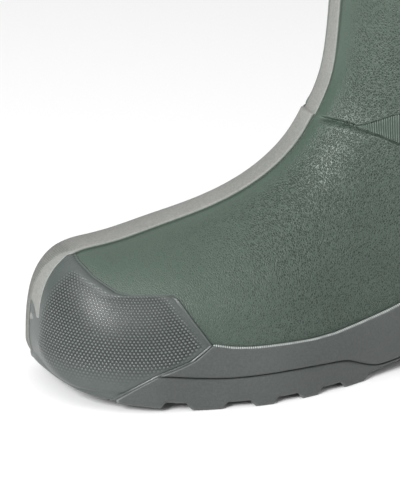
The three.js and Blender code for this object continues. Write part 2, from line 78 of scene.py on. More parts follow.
# Foot sections: top x, z, low x, z, ridge, outer half widths, inner half widths, end roundings
FOOT_SECTIONS = np.array([
    [0.007, 0.548, 0.007, 0.074, 0.094, 0.566, 0.519, 0.400, 0.406, 0.361, 0.278, 0.74, 0.10],
    [0.066, 0.552, 0.066, 0.050, 0.085, 0.525, 0.512, 0.410, 0.374, 0.364, 0.290, 0.74, 0.10],
    [0.138, 0.563, 0.138, 0.028, 0.075, 0.505, 0.524, 0.441, 0.356, 0.375, 0.311, 0.74, 0.12],
    [0.213, 0.598, 0.213, 0.015, 0.066, 0.516, 0.556, 0.476, 0.371, 0.390, 0.335, 0.74, 0.15],
    [0.302, 0.647, 0.302, -0.044, 0.052, 0.545, 0.582, 0.496, 0.387, 0.402, 0.345, 0.74, 0.16],
    [0.387, 0.725, 0.400, -0.111, 0.038, 0.532, 0.564, 0.487, 0.368, 0.402, 0.354, 0.74, 0.15],
    [0.459, 0.853, 0.525, -0.185, 0.028, 0.466, 0.510, 0.449, 0.321, 0.392, 0.364, 0.74, 0.12],
    [0.497, 0.993, 0.672, -0.222, 0.019, 0.388, 0.456, 0.430, 0.292, 0.383, 0.373, 0.70, 0.15],
    [0.5195, 1.126, 0.836, -0.207, 0.009, 0.358, 0.425, 0.434, 0.302, 0.387, 0.396, 0.62, 0.22],
    [0.529, 1.267, 0.970, -0.074, 0.000, 0.349, 0.415, 0.453, 0.330, 0.396, 0.434, 0.55, 0.30],
    [0.5356, 1.407, 0.987, 0.222, 0.000, 0.358, 0.415, 0.472, 0.340, 0.406, 0.462, 0.52, 0.34],
])
# Shaft sections: front x and rise, back x and rise, half widths, end roundings
SHAFT_SECTIONS = np.array([
    [-0.4655, 0.292, 0.436, -0.180, 0.337, 0.377, 0.413, 0.50, 0.42],
    [-0.4655, 0.388, 0.390, 0.060, 0.389, 0.413, 0.425, 0.50, 0.48],
    [-0.4655, 0.540, 0.408, 0.420, 0.440, 0.450, 0.452, 0.50, 0.50],
    [-0.482, 0.780, 0.463, 0.760, 0.484, 0.484, 0.484, 0.50, 0.50],
    [-0.500, 1.000, 0.500, 1.000, 0.500, 0.500, 0.500, 0.50, 0.50],
])
foot_rows = FOOT_SECTIONS * np.array(
    [FOOT_LENGTH, INSTEP_HEIGHT, FOOT_LENGTH, INSTEP_HEIGHT] + [BALL_WIDTH] * 7 + [1.0, 1.0])
shaft_x = SHAFT_MIDDLE + SHAFT_SECTIONS[:, [0, 2]] * CALF_DEPTH
shaft_z = INSTEP_HEIGHT + SHAFT_SECTIONS[:, [1, 3]] * (BOOT_HEIGHT - INSTEP_HEIGHT)
shaft_half = SHAFT_SECTIONS[:, 4:7] * CALF_WIDTH
shaft_rows = np.column_stack([
    shaft_x[:, 0], shaft_z[:, 0], shaft_x[:, 1], shaft_z[:, 1], np.zeros(len(shaft_half)),
    shaft_half, shaft_half, SHAFT_SECTIONS[:, 7:]])
SECTIONS = np.vstack([foot_rows, shaft_rows])
top_steps = np.hypot(np.diff(SECTIONS[:, 0]), np.diff(SECTIONS[:, 1]))
low_steps = np.hypot(np.diff(SECTIONS[:, 2]), np.diff(SECTIONS[:, 3]))
STEPS = (top_steps + low_steps) / 2
STATIONS = np.concatenate([[0.0], np.cumsum(STEPS)])
COLLAR = STATIONS[-1]
slopes = np.diff(SECTIONS, axis=0) / STEPS[:, None]
bend_matrix = (np.diag(2 * (STEPS[:-1] + STEPS[1:])) + np.diag(STEPS[1:-1], 1)
               + np.diag(STEPS[1:-1], -1))
BENDS = np.zeros_like(SECTIONS)
BENDS[1:-1] = np.linalg.solve(bend_matrix, 3 * np.diff(slopes, axis=0))


def sections_at(station):
    """The last's thirteen measures at each station: natural cubic splines through the tables."""
    i = np.clip(np.searchsorted(STATIONS, station, side="right") - 1, 0, len(STATIONS) - 2)
    d = (station - STATIONS[i])[..., None]
    h = STEPS[i][..., None]
    rise = slopes[i] - h * (2 * BENDS[i] + BENDS[i + 1]) / 3
    return SECTIONS[i] + rise * d + BENDS[i] * d ** 2 + (BENDS[i + 1] - BENDS[i]) / (3 * h) * d ** 3


def round_off(q, reach, power):
    """Share of full size left at q from an end that closes over reach: a superellipse's quarter."""
    return (1 - np.clip(1 - q / reach, 0, 1) ** power) ** (1 / power)


def lerp(a, b, share):
    """The straight mix of a and b."""
    return a + (b - a) * share


def ease(value, start, end):
    """0 before start, 1 after end, and a smooth S between them."""
    q = np.clip((value - start) / (end - start), 0, 1)
    return q * q * (3 - 2 * q)


def last_point(station, turn):
    """The last's surface in millimetres. A station picks a plane that holds a top and a low
    point; turn goes from -1 round the outer side to 0 at the top and 1 round the inner side.
    Height in the plane is a cosine of turn, and width is a quadratic of that height, closed
    by superellipses at both ends and at the nose."""
    station, turn = np.broadcast_arrays(np.asarray(station, float), np.asarray(turn, float))
    turn = (turn + 1) % 2 - 1
    m = sections_at(station)
    share = np.maximum(0, m[..., 0] - SECTIONS[0, 0]) / FOOT_LENGTH
    top_z = lerp(NOSE_Z, m[..., 1], round_off(share, *NOSE_TOP))
    low_z = lerp(NOSE_Z, m[..., 3], round_off(share, *NOSE_FOOT))
    side = np.where((turn < 0)[..., None], m[..., 5:8], m[..., 8:11])
    up = (1 + np.cos(np.pi * turn)) / 2
    half = (side[..., 0] * (1 - up) * (1 - 2 * up) + side[..., 1] * 4 * up * (1 - up)
            + side[..., 2] * up * (2 * up - 1))
    half = half * round_off(1 - up, m[..., 11], END_POWER) * round_off(up, m[..., 12], END_POWER)
    half = half * round_off(share, *NOSE_SIDE)
    x = lerp(m[..., 2], m[..., 0], up)
    return np.stack([x, m[..., 4] + np.sign(turn) * half, lerp(low_z, top_z, up)], -1)


def unit(vectors):
    """The vectors at length 1."""
    return vectors / np.maximum(np.linalg.norm(vectors, axis=-1, keepdims=True), 1e-12)


def run_along(points):
    """Distance along a line of points, from 0 at its first."""
    steps = np.linalg.norm(np.diff(points, axis=0), axis=-1)
    return np.concatenate([[0], np.cumsum(steps)])


def bridge(a, b, steps=2):
    """Straight lines of points from each point of one row to its fellow in another."""
    return np.stack([lerp(a, b, q) for q in np.linspace(0, 1, steps + 1)], 1)


def last_normal(station, turn):
    """Outward normal of the last: across two short steps, one along it and one round it."""
    station, turn = np.broadcast_arrays(np.asarray(station, float), np.asarray(turn, float))
    safe = np.maximum(station, 0.05)
    ahead = last_point(np.minimum(safe + 0.5, COLLAR), turn)
    along = ahead - last_point(np.maximum(safe - 0.5, 0.02), turn)
    around = last_point(safe, turn + 0.01) - last_point(safe, turn - 0.01)
    return unit(np.cross(along, around))


LINE_STEP = 0.5


def drawn(line, height, soft=5.0):
    """A side line from its table as heights at even steps of x, its corners eased."""
    line = np.array(line) * [FOOT_LENGTH, height]
    x = np.arange(line[0, 0], line[-1, 0], LINE_STEP)
    z = np.interp(x, line[:, 0], line[:, 1])
    reach = int(soft / LINE_STEP)
    weights = np.hanning(2 * reach + 3)[1:-1]
    padded = np.pad(z, reach, mode="reflect", reflect_type="odd")
    return x, np.convolve(padded, weights / weights.sum(), mode="valid")


def height_on(line, x):
    """Height of a side line at x."""
    return np.interp(x, *line)


FEATHER = drawn([
    [-0.1, 1.05], [0.03, 1.00], [0.13, 0.86], [0.26, 0.76], [0.45, 0.76], [0.56, 0.88],
    [0.69, 1.10], [0.82, 1.24], [1.1, 1.30]], SOLE_HEIGHT)
FOOT_EDGE = drawn([
    [-0.1, 1.487], [0.489, 0.960], [0.510, 0.961], [0.530, 0.953], [0.540, 0.945],
    [0.5475, 0.938], [0.561, 0.927], [0.576, 0.914], [0.602, 0.885], [0.656, 0.838],
    [0.738, 0.788], [0.836, 0.760], [1.1, 0.745]], INSTEP_HEIGHT, 3.0)
SHAFT_EDGE = drawn([
    [-0.1, 1.487], [0.489, 0.960], [0.510, 0.961], [0.530, 0.953], [0.551, 0.963],
    [0.562, 0.9725], [0.574, 0.983], [0.586, 0.997], [0.604, 1.009], [0.656, 1.042],
    [0.754, 1.087], [0.869, 1.117], [1.1, 1.130]], INSTEP_HEIGHT, 2.0)


def bisect(rises, low, high, rounds=40):
    """Where a rising function of one array goes through zero between two arrays of bounds."""
    low, high = np.array(low, float), np.array(high, float)
    for _ in range(rounds):
        middle = (low + high) / 2
        over = rises(middle) > 0
        high = np.where(over, middle, high)
        low = np.where(over, low, middle)
    return (low + high) / 2


# The grid of the upper. Its columns keep to the band's edges and end at the feather line,
# and its rows keep to the edges of the ankle recess.
def feather_turn(station, side):
    """Turn at which a section comes down to the feather line, or 1 where it never does."""
    low = np.full(np.shape(station), 0.25)
    return bisect(lambda t: height_on(FEATHER, last_point(station, side * t)[..., 0])
                  + FEATHER_GAP - last_point(station, side * t)[..., 2], low, low * 4)


def band_turn(station, side, off, swell):
    """Turn at which a section is off + swell times the band's half width away from the ridge."""
    top = sections_at(station)
    half = lerp(TOE_BAND_HALF, ANKLE_BAND_HALF, np.clip(top[..., 0] / ANKLE_X, 0, 1))
    half = half * lerp(1.0, SHAFT_BAND_SHARE, ease(top[..., 1], *SHAFT_BAND_CLIMB))
    ridge = top[..., 4]
    low = np.zeros(np.shape(station))
    return bisect(lambda t: np.abs(last_point(station, side * t)[..., 1] - ridge)
                  - off - swell * half, low, low + 0.5)


back_low = bisect(lambda s: last_point(s, 1.0)[..., 2]
                  - height_on(FEATHER, last_point(s, 1.0)[..., 0]) - FEATHER_GAP, 240.0, 320.0)
near_back = back_low - 40 * np.linspace(0, 1, 40)[::-1] ** 2.5
known_stations = np.concatenate([
    np.linspace(0.4, 30, 40), np.linspace(31, back_low - 41, 150), near_back,
    np.linspace(back_low + 0.5, COLLAR, 160)])
# Columns of one side: off the band's edge and share of its half width, and the height there
BAND_COLUMNS = [
    (0.0, 0.15, 1.0), (0.0, 0.34, 1.0), (0.0, 0.53, 1.0), (0.0, 0.72, 1.0), (-1.0, 1.0, 1.0),
    (-0.45, 1.0, 0.97), (-0.12, 1.0, 0.82), (0.05, 1.0, 0.40), (0.12, 1.0, -0.22),
    (0.32, 1.0, -0.28), (0.62, 1.0, -0.08), (1.1, 1.0, 0.0)]
SIDE_COLUMNS = 68
side_shares = np.linspace(0, 1, SIDE_COLUMNS + 1)[1:]
side_shares = side_shares * (0.86 + 0.14 * side_shares)
STATION_STEP = 2.0
GENTLE_REACH = 20


def gentle(limit):
    """A slow line that stays under a limit along the stations: its least value within reach,
    smoothed over the same reach. The columns keep to it, and only the last ones go on to the
    limit, so that none turns sharply where the feather line ends behind the heel."""
    even = np.arange(0, COLLAR, STATION_STEP)
    padded = np.pad(np.interp(even, known_stations, limit), GENTLE_REACH, mode="edge")
    least = np.lib.stride_tricks.sliding_window_view(padded, 2 * GENTLE_REACH + 1).min(-1)
    weights = np.hanning(2 * GENTLE_REACH + 3)[1:-1]
    least = np.pad(least, GENTLE_REACH, mode="edge")
    least = np.convolve(least, weights / weights.sum(), mode="valid")
    return np.interp(known_stations, even, least)


column_turns, band_lift = [], []
for side in (-1, 1):
    table = [side * band_turn(known_stations, side, off, swell) for off, swell, _ in BAND_COLUMNS]
    limit = feather_turn(known_stations, side)
    limit = np.where(known_stations >= back_low - 1e-6, 1.0, limit)
    slow = gentle(limit)
    table += [lerp(table[-1], side * lerp(slow, limit, share ** 9), share) for share in side_shares]
    lift = [height for _, _, height in BAND_COLUMNS] + [0.0] * SIDE_COLUMNS
    column_turns += table[::-1] if side < 0 else table
    band_lift += lift[::-1] if side < 0 else lift
    if side < 0:
        column_turns.append(np.zeros_like(known_stations))
        band_lift.append(1.0)
column_turns = np.array(column_turns)
band_lift = np.array(band_lift)
columns = len(band_lift)


def turn_on(stations):
    """Turn of every column at its own station: a look-up in each column's table."""
    made = [np.interp(stations[..., c], known_stations, column_turns[c]) for c in range(columns)]
    return np.stack(made, -1)


def edge_stations(line, start, end):
    """Station at which each column climbs to a side line."""
    def over(stations):
        p = last_point(stations, turn_on(stations))
        return p[..., 2] - height_on(line, p[..., 0])
    return bisect(over, np.full(columns, start), np.full(columns, end))


foot_end = edge_stations(FOOT_EDGE, 120.0, 420.0)
speed = np.linalg.norm(last_point(foot_end + 0.5, turn_on(foot_end))
                       - last_point(foot_end - 0.5, turn_on(foot_end)), axis=-1)
shaft_start = np.maximum(edge_stations(SHAFT_EDGE, 120.0, 440.0), foot_end + 1.9 / speed)

# Rows before the foot's edge and after the shaft's: distance from the edge and height there,
# for the foot as a crisp lip at the heel side and as a soft roll beside the front
FOOT_LIP = [
    (-9.0, 0.0, 0.0), (-6.0, 0.06, 0.05), (-4.2, 0.13, 0.08), (-3.0, 0.2, 0.02),
    (-2.1, 0.27, -0.14), (-1.4, 0.33, -0.42), (-0.8, 0.32, -0.85), (-0.4, 0.2, -1.25),
    (-0.1, -0.15, -1.6), (0.12, -0.8, -1.85), (0.35, -1.7, -2.05), (0.8, -RIB_STEP, -RIB_STEP)]
SHAFT_LIP = [(-0.8, -RIB_STEP), (-0.35, -1.8), (-0.12, -1.25), (0.1, -0.9), (0.5, -0.72),
             (1.2, -0.72), (2.4, -0.9), (4.2, -1.08), (7.0, -SHAFT_STEP)]
RIM_EDGE = [(-4.0, 0.0), (-1.6, 0.06), (-0.5, 0.3), (0.0, 0.5), (0.5, 0.75), (1.4, 0.96), (3.0, 1.0)]
TOP_EDGE = [(-5.0, 1.0), (-2.0, 1.0), (-0.9, 0.85), (-0.25, 0.45), (0.0, -0.2)]
BAND_DIP = 0.85
VAMP_ROWS = 112
RECESS_ROWS = 5
SHAFT_ROWS = 62
row_stations, row_lift, row_band = [], [], []
vamp_end = foot_end + FOOT_LIP[0][0] / speed
for share in np.linspace(0, 1, VAMP_ROWS)[:-1] ** 1.12:
    row_stations.append(share * vamp_end)
    row_lift.append(np.zeros(columns))
    row_band.append(BAND_PROUD)
from_band = run_along(last_point(foot_end, turn_on(foot_end)))
from_band = np.abs(from_band - from_band[columns // 2]) - ANKLE_BAND_HALF
crisp_foot = ease(from_band, 27.0, 38.0)
for off, crisp_lift, soft_lift in FOOT_LIP:
    row_stations.append(foot_end + off / speed)
    row_lift.append(lerp(soft_lift, crisp_lift, crisp_foot))
    row_band.append(BAND_PROUD)
for share in np.linspace(0, 1, RECESS_ROWS + 2)[1:-1]:
    row_stations.append(lerp(foot_end + 0.8 / speed, shaft_start - 0.8 / speed, share))
    row_lift.append(np.full(columns, -RIB_STEP))
    row_band.append(0.6)
for off, lift in SHAFT_LIP:
    row_stations.append(shaft_start + off / speed)
    row_lift.append(np.full(columns, lift))
    row_band.append(BAND_PROUD - SHAFT_STEP - BAND_DIP)
shaft_low = row_stations[-1]
rim_station = COLLAR - RIM_HEIGHT
for share in np.linspace(0, 1, SHAFT_ROWS + 1)[1:]:
    row_stations.append(lerp(shaft_low, rim_station + RIM_EDGE[0][0], share))
    row_lift.append(np.full(columns, -SHAFT_STEP))
    row_band.append(BAND_PROUD - SHAFT_STEP - BAND_DIP * (1 - ease(share, 0.03, 0.30)))
for off, lift in RIM_EDGE[1:]:
    row_stations.append(np.full(columns, rim_station + off))
    row_lift.append(np.full(columns, -SHAFT_STEP + lift * RIM_PROUD))
    row_band.append(BAND_PROUD - SHAFT_STEP)
for off, lift in TOP_EDGE:
    row_stations.append(np.full(columns, COLLAR + off))
    row_lift.append(np.full(columns, -SHAFT_STEP + lift * RIM_PROUD))
    row_band.append(BAND_PROUD - SHAFT_STEP - 0.3 * (1 - lift))
row_stations = np.clip(np.array(row_stations), 0, COLLAR)
row_lift, row_band = np.array(row_lift), np.array(row_band)[:, None]
row_turns = turn_on(row_stations)
closed = row_stations[:, -1] >= back_low - 1e-6
row_turns[closed, 0], row_turns[closed, -1] = -1.0, 1.0
last_skin = last_point(row_stations, row_turns)
last_out = last_normal(row_stations, row_turns)
last_out[0] = (-1.0, 0.0, 0.0)
# Close to the band the fold is a soft step, and it sharpens into a lip and a valley beside it
fold_sharp = ease(from_band, 0.5, 9.0)[None, :]
soft_step = -SHAFT_STEP * ease((row_stations - foot_end) * speed, -4.0, 5.0)
near_fold = np.abs((row_stations - foot_end) * speed - 1.0) < 11.0
row_lift = np.where(near_fold, lerp(soft_step, row_lift, fold_sharp), row_lift)
# On the band the band's own rise takes over
on_band = np.clip(band_lift, 0, 1)[None, :]
dip = np.minimum(band_lift, 0)[None, :]
rise = row_lift * (1 - on_band) + row_band * on_band + dip * BAND_PROUD
skin = last_skin + last_out * rise[..., None]
lining = last_skin - last_out * WALL
top_bead = np.linspace(0, 1, 5)[1:-1, None, None]
mouth = lerp(skin[-1], lining[-1], top_bead)
for grid in (skin, lining, mouth):
    joined = closed if len(grid) == len(closed) else np.ones(len(grid), bool)
    grid[joined, -1] = grid[joined, 0]
lining[-1, :, 2] = BOOT_HEIGHT
skin_run = np.cumsum(np.linalg.norm(np.diff(skin, axis=0, prepend=skin[:1]), axis=-1), 0)
skin_round = np.cumsum(np.linalg.norm(np.diff(skin, axis=1, prepend=skin[:, :1]), axis=-1), 1)
skin_round -= skin_round[:, [columns // 2]]

frame_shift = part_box("outsole")[1][0] * 1000 - FOOT_LENGTH


def measure(across, along, field=0.0):
    """A grid's pattern: its millimetres across and along, and how strong its grain field is."""
    return np.stack(np.broadcast_arrays(across, along, field), -1)


def bend_of(mesh):
    """How sharply a surface bends at each point, above 0 on an outer edge and below 0 in a
    crease: the mean fall of its edges under the plane of the point, evened with its neighbours."""
    count = len(mesh.vertices)
    ends = np.empty(len(mesh.edges) * 2, np.int32)
    mesh.edges.foreach_get("vertices", ends)
    a, b = ends.reshape(-1, 2).T
    place, out = np.empty(count * 3), np.empty(count * 3)
    mesh.vertices.foreach_get("co", place)
    mesh.vertices.foreach_get("normal", out)
    place, out = place.reshape(-1, 3), out.reshape(-1, 3)
    way = unit(place[b] - place[a])
    degree = np.bincount(a, minlength=count) + np.bincount(b, minlength=count)
    fall = np.bincount(b, np.sum(out[b] * way, 1), count)
    fall = (fall - np.bincount(a, np.sum(out[a] * way, 1), count)) / np.maximum(degree, 1)
    for _ in range(2):
        around = np.bincount(a, fall[b], count) + np.bincount(b, fall[a], count)
        fall = (fall + around / np.maximum(degree, 1)) / 2
    return fall


SAME_PLACE = 0.004


def stitch(name, patches, finishes):
    """One mesh from grids of points in the last's millimetres. A patch is a grid, its
    measures, its finish, one for all or one for each face, and whether it is turned over.
    Corners in the same place become one, and a face that loses one becomes a triangle."""
    points, cells, measures, finish = [], [], [], []
    start = 0
    for grid, pattern, slot, turned in patches:
        rows, across = grid.shape[:2]
        index = start + np.arange(rows * across).reshape(rows, across)
        quad = np.stack([index[:-1, :-1], index[1:, :-1], index[1:, 1:], index[:-1, 1:]], -1)
        quad = quad.reshape(-1, 4)
        cells.append(quad[:, ::-1] if turned else quad)
        points.append(grid.reshape(-1, 3))
        measures.append(pattern.reshape(-1, 3))
        finish.append(np.broadcast_to(slot, (rows - 1, across - 1)).reshape(-1))
        start += rows * across
    points, cells = np.concatenate(points), np.concatenate(cells)
    measures, finish = np.concatenate(measures), np.concatenate(finish)
    _, first, same = np.unique(
        np.round(points / SAME_PLACE), axis=0, return_index=True, return_inverse=True)
    merged = same.reshape(-1)[cells]
    lost = merged == np.roll(merged, -1, axis=1)
    whole = lost.sum(1) == 0
    worn = lost.sum(1) == 1
    kept = ~lost[worn]
    triangles = merged[worn][kept].reshape(-1, 3)
    faces = merged[whole].tolist() + triangles.tolist()
    corners = np.concatenate([cells[whole].reshape(-1), cells[worn][kept]])
    mesh = bpy.data.meshes.new(name)
    placed = points[first] + [frame_shift, 0, 0]
    mesh.from_pydata((placed / 1000).tolist(), [], faces)
    pattern_map = mesh.uv_layers.new(name="pattern")
    pattern_map.data.foreach_set("uv", (measures[corners, :2] / 1000).astype(np.float32).ravel())
    slots = np.concatenate([finish[whole], finish[worn]]).astype(np.int32)
    mesh.polygons.foreach_set("material_index", slots)
    mesh.polygons.foreach_set("use_smooth", np.ones(len(faces), bool))
    for material in finishes:
        mesh.materials.append(material)
    mesh.update()
    for label, values in (("field", measures[first, 2]), ("bend", bend_of(mesh))):
        kept_values = mesh.attributes.new(label, "FLOAT", "POINT")
        kept_values.data.foreach_set("value", values.astype(np.float32))
    piece = bpy.data.objects.new(name, mesh)
    bpy.context.scene.collection.objects.link(piece)
    return piece


def put(tree, kind, settings=(), **inputs):
    """One shader node. An input is a number, a colour or another node's output; a name such
    as i1 is the socket of that number."""
    made = tree.nodes.new("ShaderNode" + kind)
    for name, value in dict(settings).items():
        setattr(made, name, value)
    for name, value in inputs.items():
        numbered = name[0] == "i" and name[1:].isdigit()
        socket = made.inputs[int(name[1:]) if numbered else name.replace("_", " ")]
        if isinstance(value, bpy.types.NodeSocket):
            tree.links.new(value, socket)
        else:
            socket.default_value = value
    return made


def maths(tree, operation, first, second=0.0, third=0.0):
    """The output of one Math node."""
    return put(tree, "Math", {"operation": operation}, i0=first, i1=second, i2=third).outputs[0]


def vectors(tree, operation, first, *more, **named):
    """The first output of one Vector Math node."""
    others = {f"i{number}": value for number, value in enumerate(more, 1)}
    return put(tree, "VectorMath", {"operation": operation}, i0=first, **others, **named).outputs[0]


def fade(tree, value, *limits):
    """A value eased from its first two limits to the next two, or to 0 and 1."""
    others = {f"i{number}": limit for number, limit in enumerate(limits, 1)}
    return put(tree, "MapRange", {"interpolation_type": "SMOOTHSTEP"}, Value=value, **others).outputs[0]


def effect(name, inputs, outputs):
    """An empty node group with number, colour or vector sockets, given as name: start value."""
    tree = bpy.data.node_groups.new(name, "ShaderNodeTree")
    for label, start in inputs.items():
        wide = {3: "NodeSocketVector", 4: "NodeSocketColor"}
        kind = "NodeSocketFloat" if isinstance(start, float) else wide[len(start)]
        socket = tree.interface.new_socket(name=label, in_out="INPUT", socket_type=kind)
        socket.default_value = start
    for label, kind in outputs.items():
        tree.interface.new_socket(name=label, in_out="OUTPUT", socket_type="NodeSocket" + kind)
    return tree, tree.nodes.new("NodeGroupInput").outputs, tree.nodes.new("NodeGroupOutput").inputs


def group(tree, effect_tree, **inputs):
    """A node group placed in a material with this material's own values."""
    made = tree.nodes.new("ShaderNodeGroup")
    made.node_tree = effect_tree
    for name, value in inputs.items():
        socket = made.inputs[name.replace("_", " ")]
        if isinstance(value, bpy.types.NodeSocket):
            tree.links.new(value, socket)
        else:
            socket.default_value = value
    return made.outputs


# Grain of the mould: a net of fine ridges round small pits, both bent by noise
grain, g_in, g_out = effect(
    "moulded_grain",
    {"Place": (0.0, 0.0, 0.0), "Pits per metre": 600.0, "Bend": 0.6, "Field": 1.0},
    {"Height": "Float", "Pits": "Float"})
bent = put(grain, "TexNoise", Vector=g_in["Place"],
           Scale=maths(grain, "MULTIPLY", g_in["Pits per metre"], 0.8), Detail=1.0)
wander = vectors(grain, "SUBTRACT", bent.outputs["Color"], (0.5, 0.5, 0.5))
wander = vectors(grain, "SCALE", wander, Scale=maths(
    grain, "DIVIDE", g_in["Bend"], g_in["Pits per metre"]))
net = put(grain, "TexVoronoi", {"feature": "DISTANCE_TO_EDGE"}, Scale=g_in["Pits per metre"],
          Vector=vectors(grain, "ADD", g_in["Place"], wander))
fine = put(grain, "TexNoise", Vector=g_in["Place"],
           Scale=maths(grain, "MULTIPLY", g_in["Pits per metre"], 2.4), Detail=2.0)
pit = fade(grain, net.outputs["Distance"], 0.02, 0.34)
pit = maths(grain, "MULTIPLY", pit, g_in["Field"])
ragged = maths(grain, "MULTIPLY", maths(grain, "SUBTRACT", fine.outputs[0], 0.5), 0.55)
grain.links.new(maths(grain, "SUBTRACT", ragged, pit), g_out["Height"])
# The pits go to the cast, which darkens them as dirt and painted shade
grain.links.new(maths(grain, "MULTIPLY_ADD", ragged, -0.6, pit), g_out["Pits"])

# Cast of the rubber: slow drifts of colour, with dirt and painted shade in pits, painted shade in
# creases and a painted highlight on outer edges
cast, c_in, c_out = effect(
    "rubber_cast", {"Place": (0.0, 0.0, 0.0), "Tone": (0.1, 0.1, 0.1, 1.0),
                    "Light tone": (0.2, 0.2, 0.2, 1.0), "Rub tone": (0.3, 0.3, 0.3, 1.0),
                    "Pits": 0.0, "Depth": 0.5, "Bend": 0.0, "Gloss": 0.5},
    {"Color": "Color", "Roughness": "Float"})
drift = put(cast, "TexNoise", Vector=c_in["Place"], Scale=14.0, Detail=3.0, Roughness=0.6)
mottled = put(cast, "TexNoise", Vector=c_in["Place"], Scale=900.0, Detail=2.0, Roughness=0.7)
shade = maths(cast, "MULTIPLY_ADD", drift.outputs[0], 0.45, maths(
    cast, "MULTIPLY", mottled.outputs[0], 0.55))
tone = put(cast, "Mix", {"data_type": "RGBA"}, i6=c_in["Tone"], i7=c_in["Light tone"],
           i0=put(cast, "MapRange", Value=shade, i1=0.36, i2=0.64).outputs[0])
# Painted highlight: where the surface bends outwards the tone goes over to the highlight (rub) tone
edge_highlight_mask = fade(cast, c_in["Bend"], 0.05, 0.30)
uneven = put(cast, "TexNoise", Vector=c_in["Place"], Scale=260.0, Detail=2.0)
edge_highlight = maths(cast, "MULTIPLY", edge_highlight_mask, put(
    cast, "MapRange", Value=uneven.outputs[0], i1=0.3, i2=0.6, i3=0.45, i4=1.0).outputs[0])
tone = put(cast, "Mix", {"data_type": "RGBA"}, i0=edge_highlight, i6=tone.outputs[2], i7=c_in["Rub tone"])
# Painted shade in creases, and dirt and painted shade in pits by the depth given
crease = fade(cast, c_in["Bend"], -0.05, -0.30, 0.0, 0.75)
dirt_and_shade = maths(cast, "MULTIPLY", maths(cast, "MAXIMUM", c_in["Pits"], 0.0), c_in["Depth"])
dirt_and_shade = maths(cast, "MULTIPLY", maths(cast, "SUBTRACT", 1.0, dirt_and_shade), maths(
    cast, "SUBTRACT", 1.0, crease))
cast.links.new(vectors(cast, "SCALE", tone.outputs[2], Scale=dirt_and_shade), c_out["Color"])
sheen = maths(cast, "MULTIPLY_ADD", c_in["Pits"], 0.18, c_in["Gloss"])
sheen = maths(cast, "MULTIPLY_ADD", shade, 0.16, sheen)
cast.links.new(maths(cast, "MULTIPLY_ADD", edge_highlight, -0.12, sheen), c_out["Roughness"])


def rubber(name, tone, light_tone, highlight_tone, relief_group, relief_values, depth, gloss, bump,
           specular=0.5, lean=0.0, squeeze=(1, 1, 1), on_pattern=False):
    """A moulded rubber finish: one relief group as bump and as pits darkened with dirt and painted
    shade, on a drifting tone.
    The relief lies on the piece's pattern or, leaned and squeezed, on its own place."""
    made = bpy.data.materials.new(name)
    made.use_nodes = True
    tree = made.node_tree
    tree.nodes.clear()
    place = put(tree, "TexCoord").outputs["Object"]
    if on_pattern:
        laid = put(tree, "UVMap", {"uv_map": "pattern"}).outputs[0]
    else:
        laid = put(tree, "Mapping", Vector=place, Rotation=(0.0, math.radians(lean), 0.0),
                   Scale=squeeze).outputs[0]
    field = put(tree, "Attribute", {"attribute_name": "field"}).outputs["Fac"]
    bend = put(tree, "Attribute", {"attribute_name": "bend"}).outputs["Fac"]
    relief = group(tree, relief_group, Place=laid, Field=field, **relief_values)
    colour = group(tree, cast, Place=place, Tone=(*tone, 1), Light_tone=(*light_tone, 1),
                   Rub_tone=(*highlight_tone, 1), Pits=relief["Pits"], Depth=depth, Bend=bend, Gloss=gloss)
    raised = put(tree, "Bump", Strength=1.0, Distance=bump, Height=relief["Height"])
    shader = put(tree, "BsdfPrincipled", Base_Color=colour["Color"], Roughness=colour["Roughness"],
                 Normal=raised.outputs[0], Specular_IOR_Level=specular)
    tree.links.new(shader.outputs[0], put(tree, "OutputMaterial").inputs[0])
    return made


# The third tone of each rubber is the painted highlight on its outer edges
moss = rubber("moss_rubber", (0.043, 0.067, 0.050), (0.057, 0.086, 0.066), (0.26, 0.30, 0.275),
              grain, {"Pits_per_metre": 1000.0, "Bend": 0.9}, depth=0.75, gloss=0.27, bump=0.0002,
              lean=38, squeeze=(1.0, 1.0, 0.8))
BAND_GRAIN = {"Pits_per_metre": 1300.0, "Bend": 0.4}
band_grey = rubber("band_grey_rubber", (0.165, 0.17, 0.158), (0.245, 0.248, 0.232), (0.31, 0.315, 0.30),
                   grain, BAND_GRAIN, depth=0.55, gloss=0.62, bump=0.0002)

# Knit of the lining: rows of V stitches, one leg each side of a stitch's middle
knitting, k_in, k_out = effect(
    "knit_stitches", {"Place": (0.0, 0.0, 0.0), "Wale": 0.0016, "Field": 1.0},
    {"Height": "Float", "Pits": "Float"})
per_wale = vectors(knitting, "SCALE", k_in["Place"], Scale=maths(
    knitting, "DIVIDE", 1.0, k_in["Wale"]))
lay = put(knitting, "SeparateXYZ", i0=per_wale).outputs
leg = maths(knitting, "ABSOLUTE", maths(knitting, "MULTIPLY_ADD", maths(
    knitting, "FRACT", lay[0]), 2.0, -1.0))
course = maths(knitting, "FRACT", maths(knitting, "MULTIPLY_ADD", leg, 0.55, maths(
    knitting, "MULTIPLY", lay[1], 1.25)))
yarn = maths(knitting, "SINE", maths(knitting, "MULTIPLY", course, math.pi))
yarn = maths(knitting, "MULTIPLY", yarn, maths(knitting, "POWER", maths(
    knitting, "SINE", maths(knitting, "MULTIPLY", leg, math.pi)), 0.5))
knitting.links.new(yarn, k_out["Height"])
# Pits: the gaps between the yarns, darkened in the cast as painted shade
knitting.links.new(maths(knitting, "SUBTRACT", 1.0, yarn), k_out["Pits"])
knit = rubber("lining_knit", (0.050, 0.054, 0.051), (0.070, 0.075, 0.071), (0.08, 0.085, 0.08),
              knitting, {"Wale": 0.0016}, depth=0.6, gloss=0.8, bump=0.0005, specular=0.2,
              on_pattern=True)

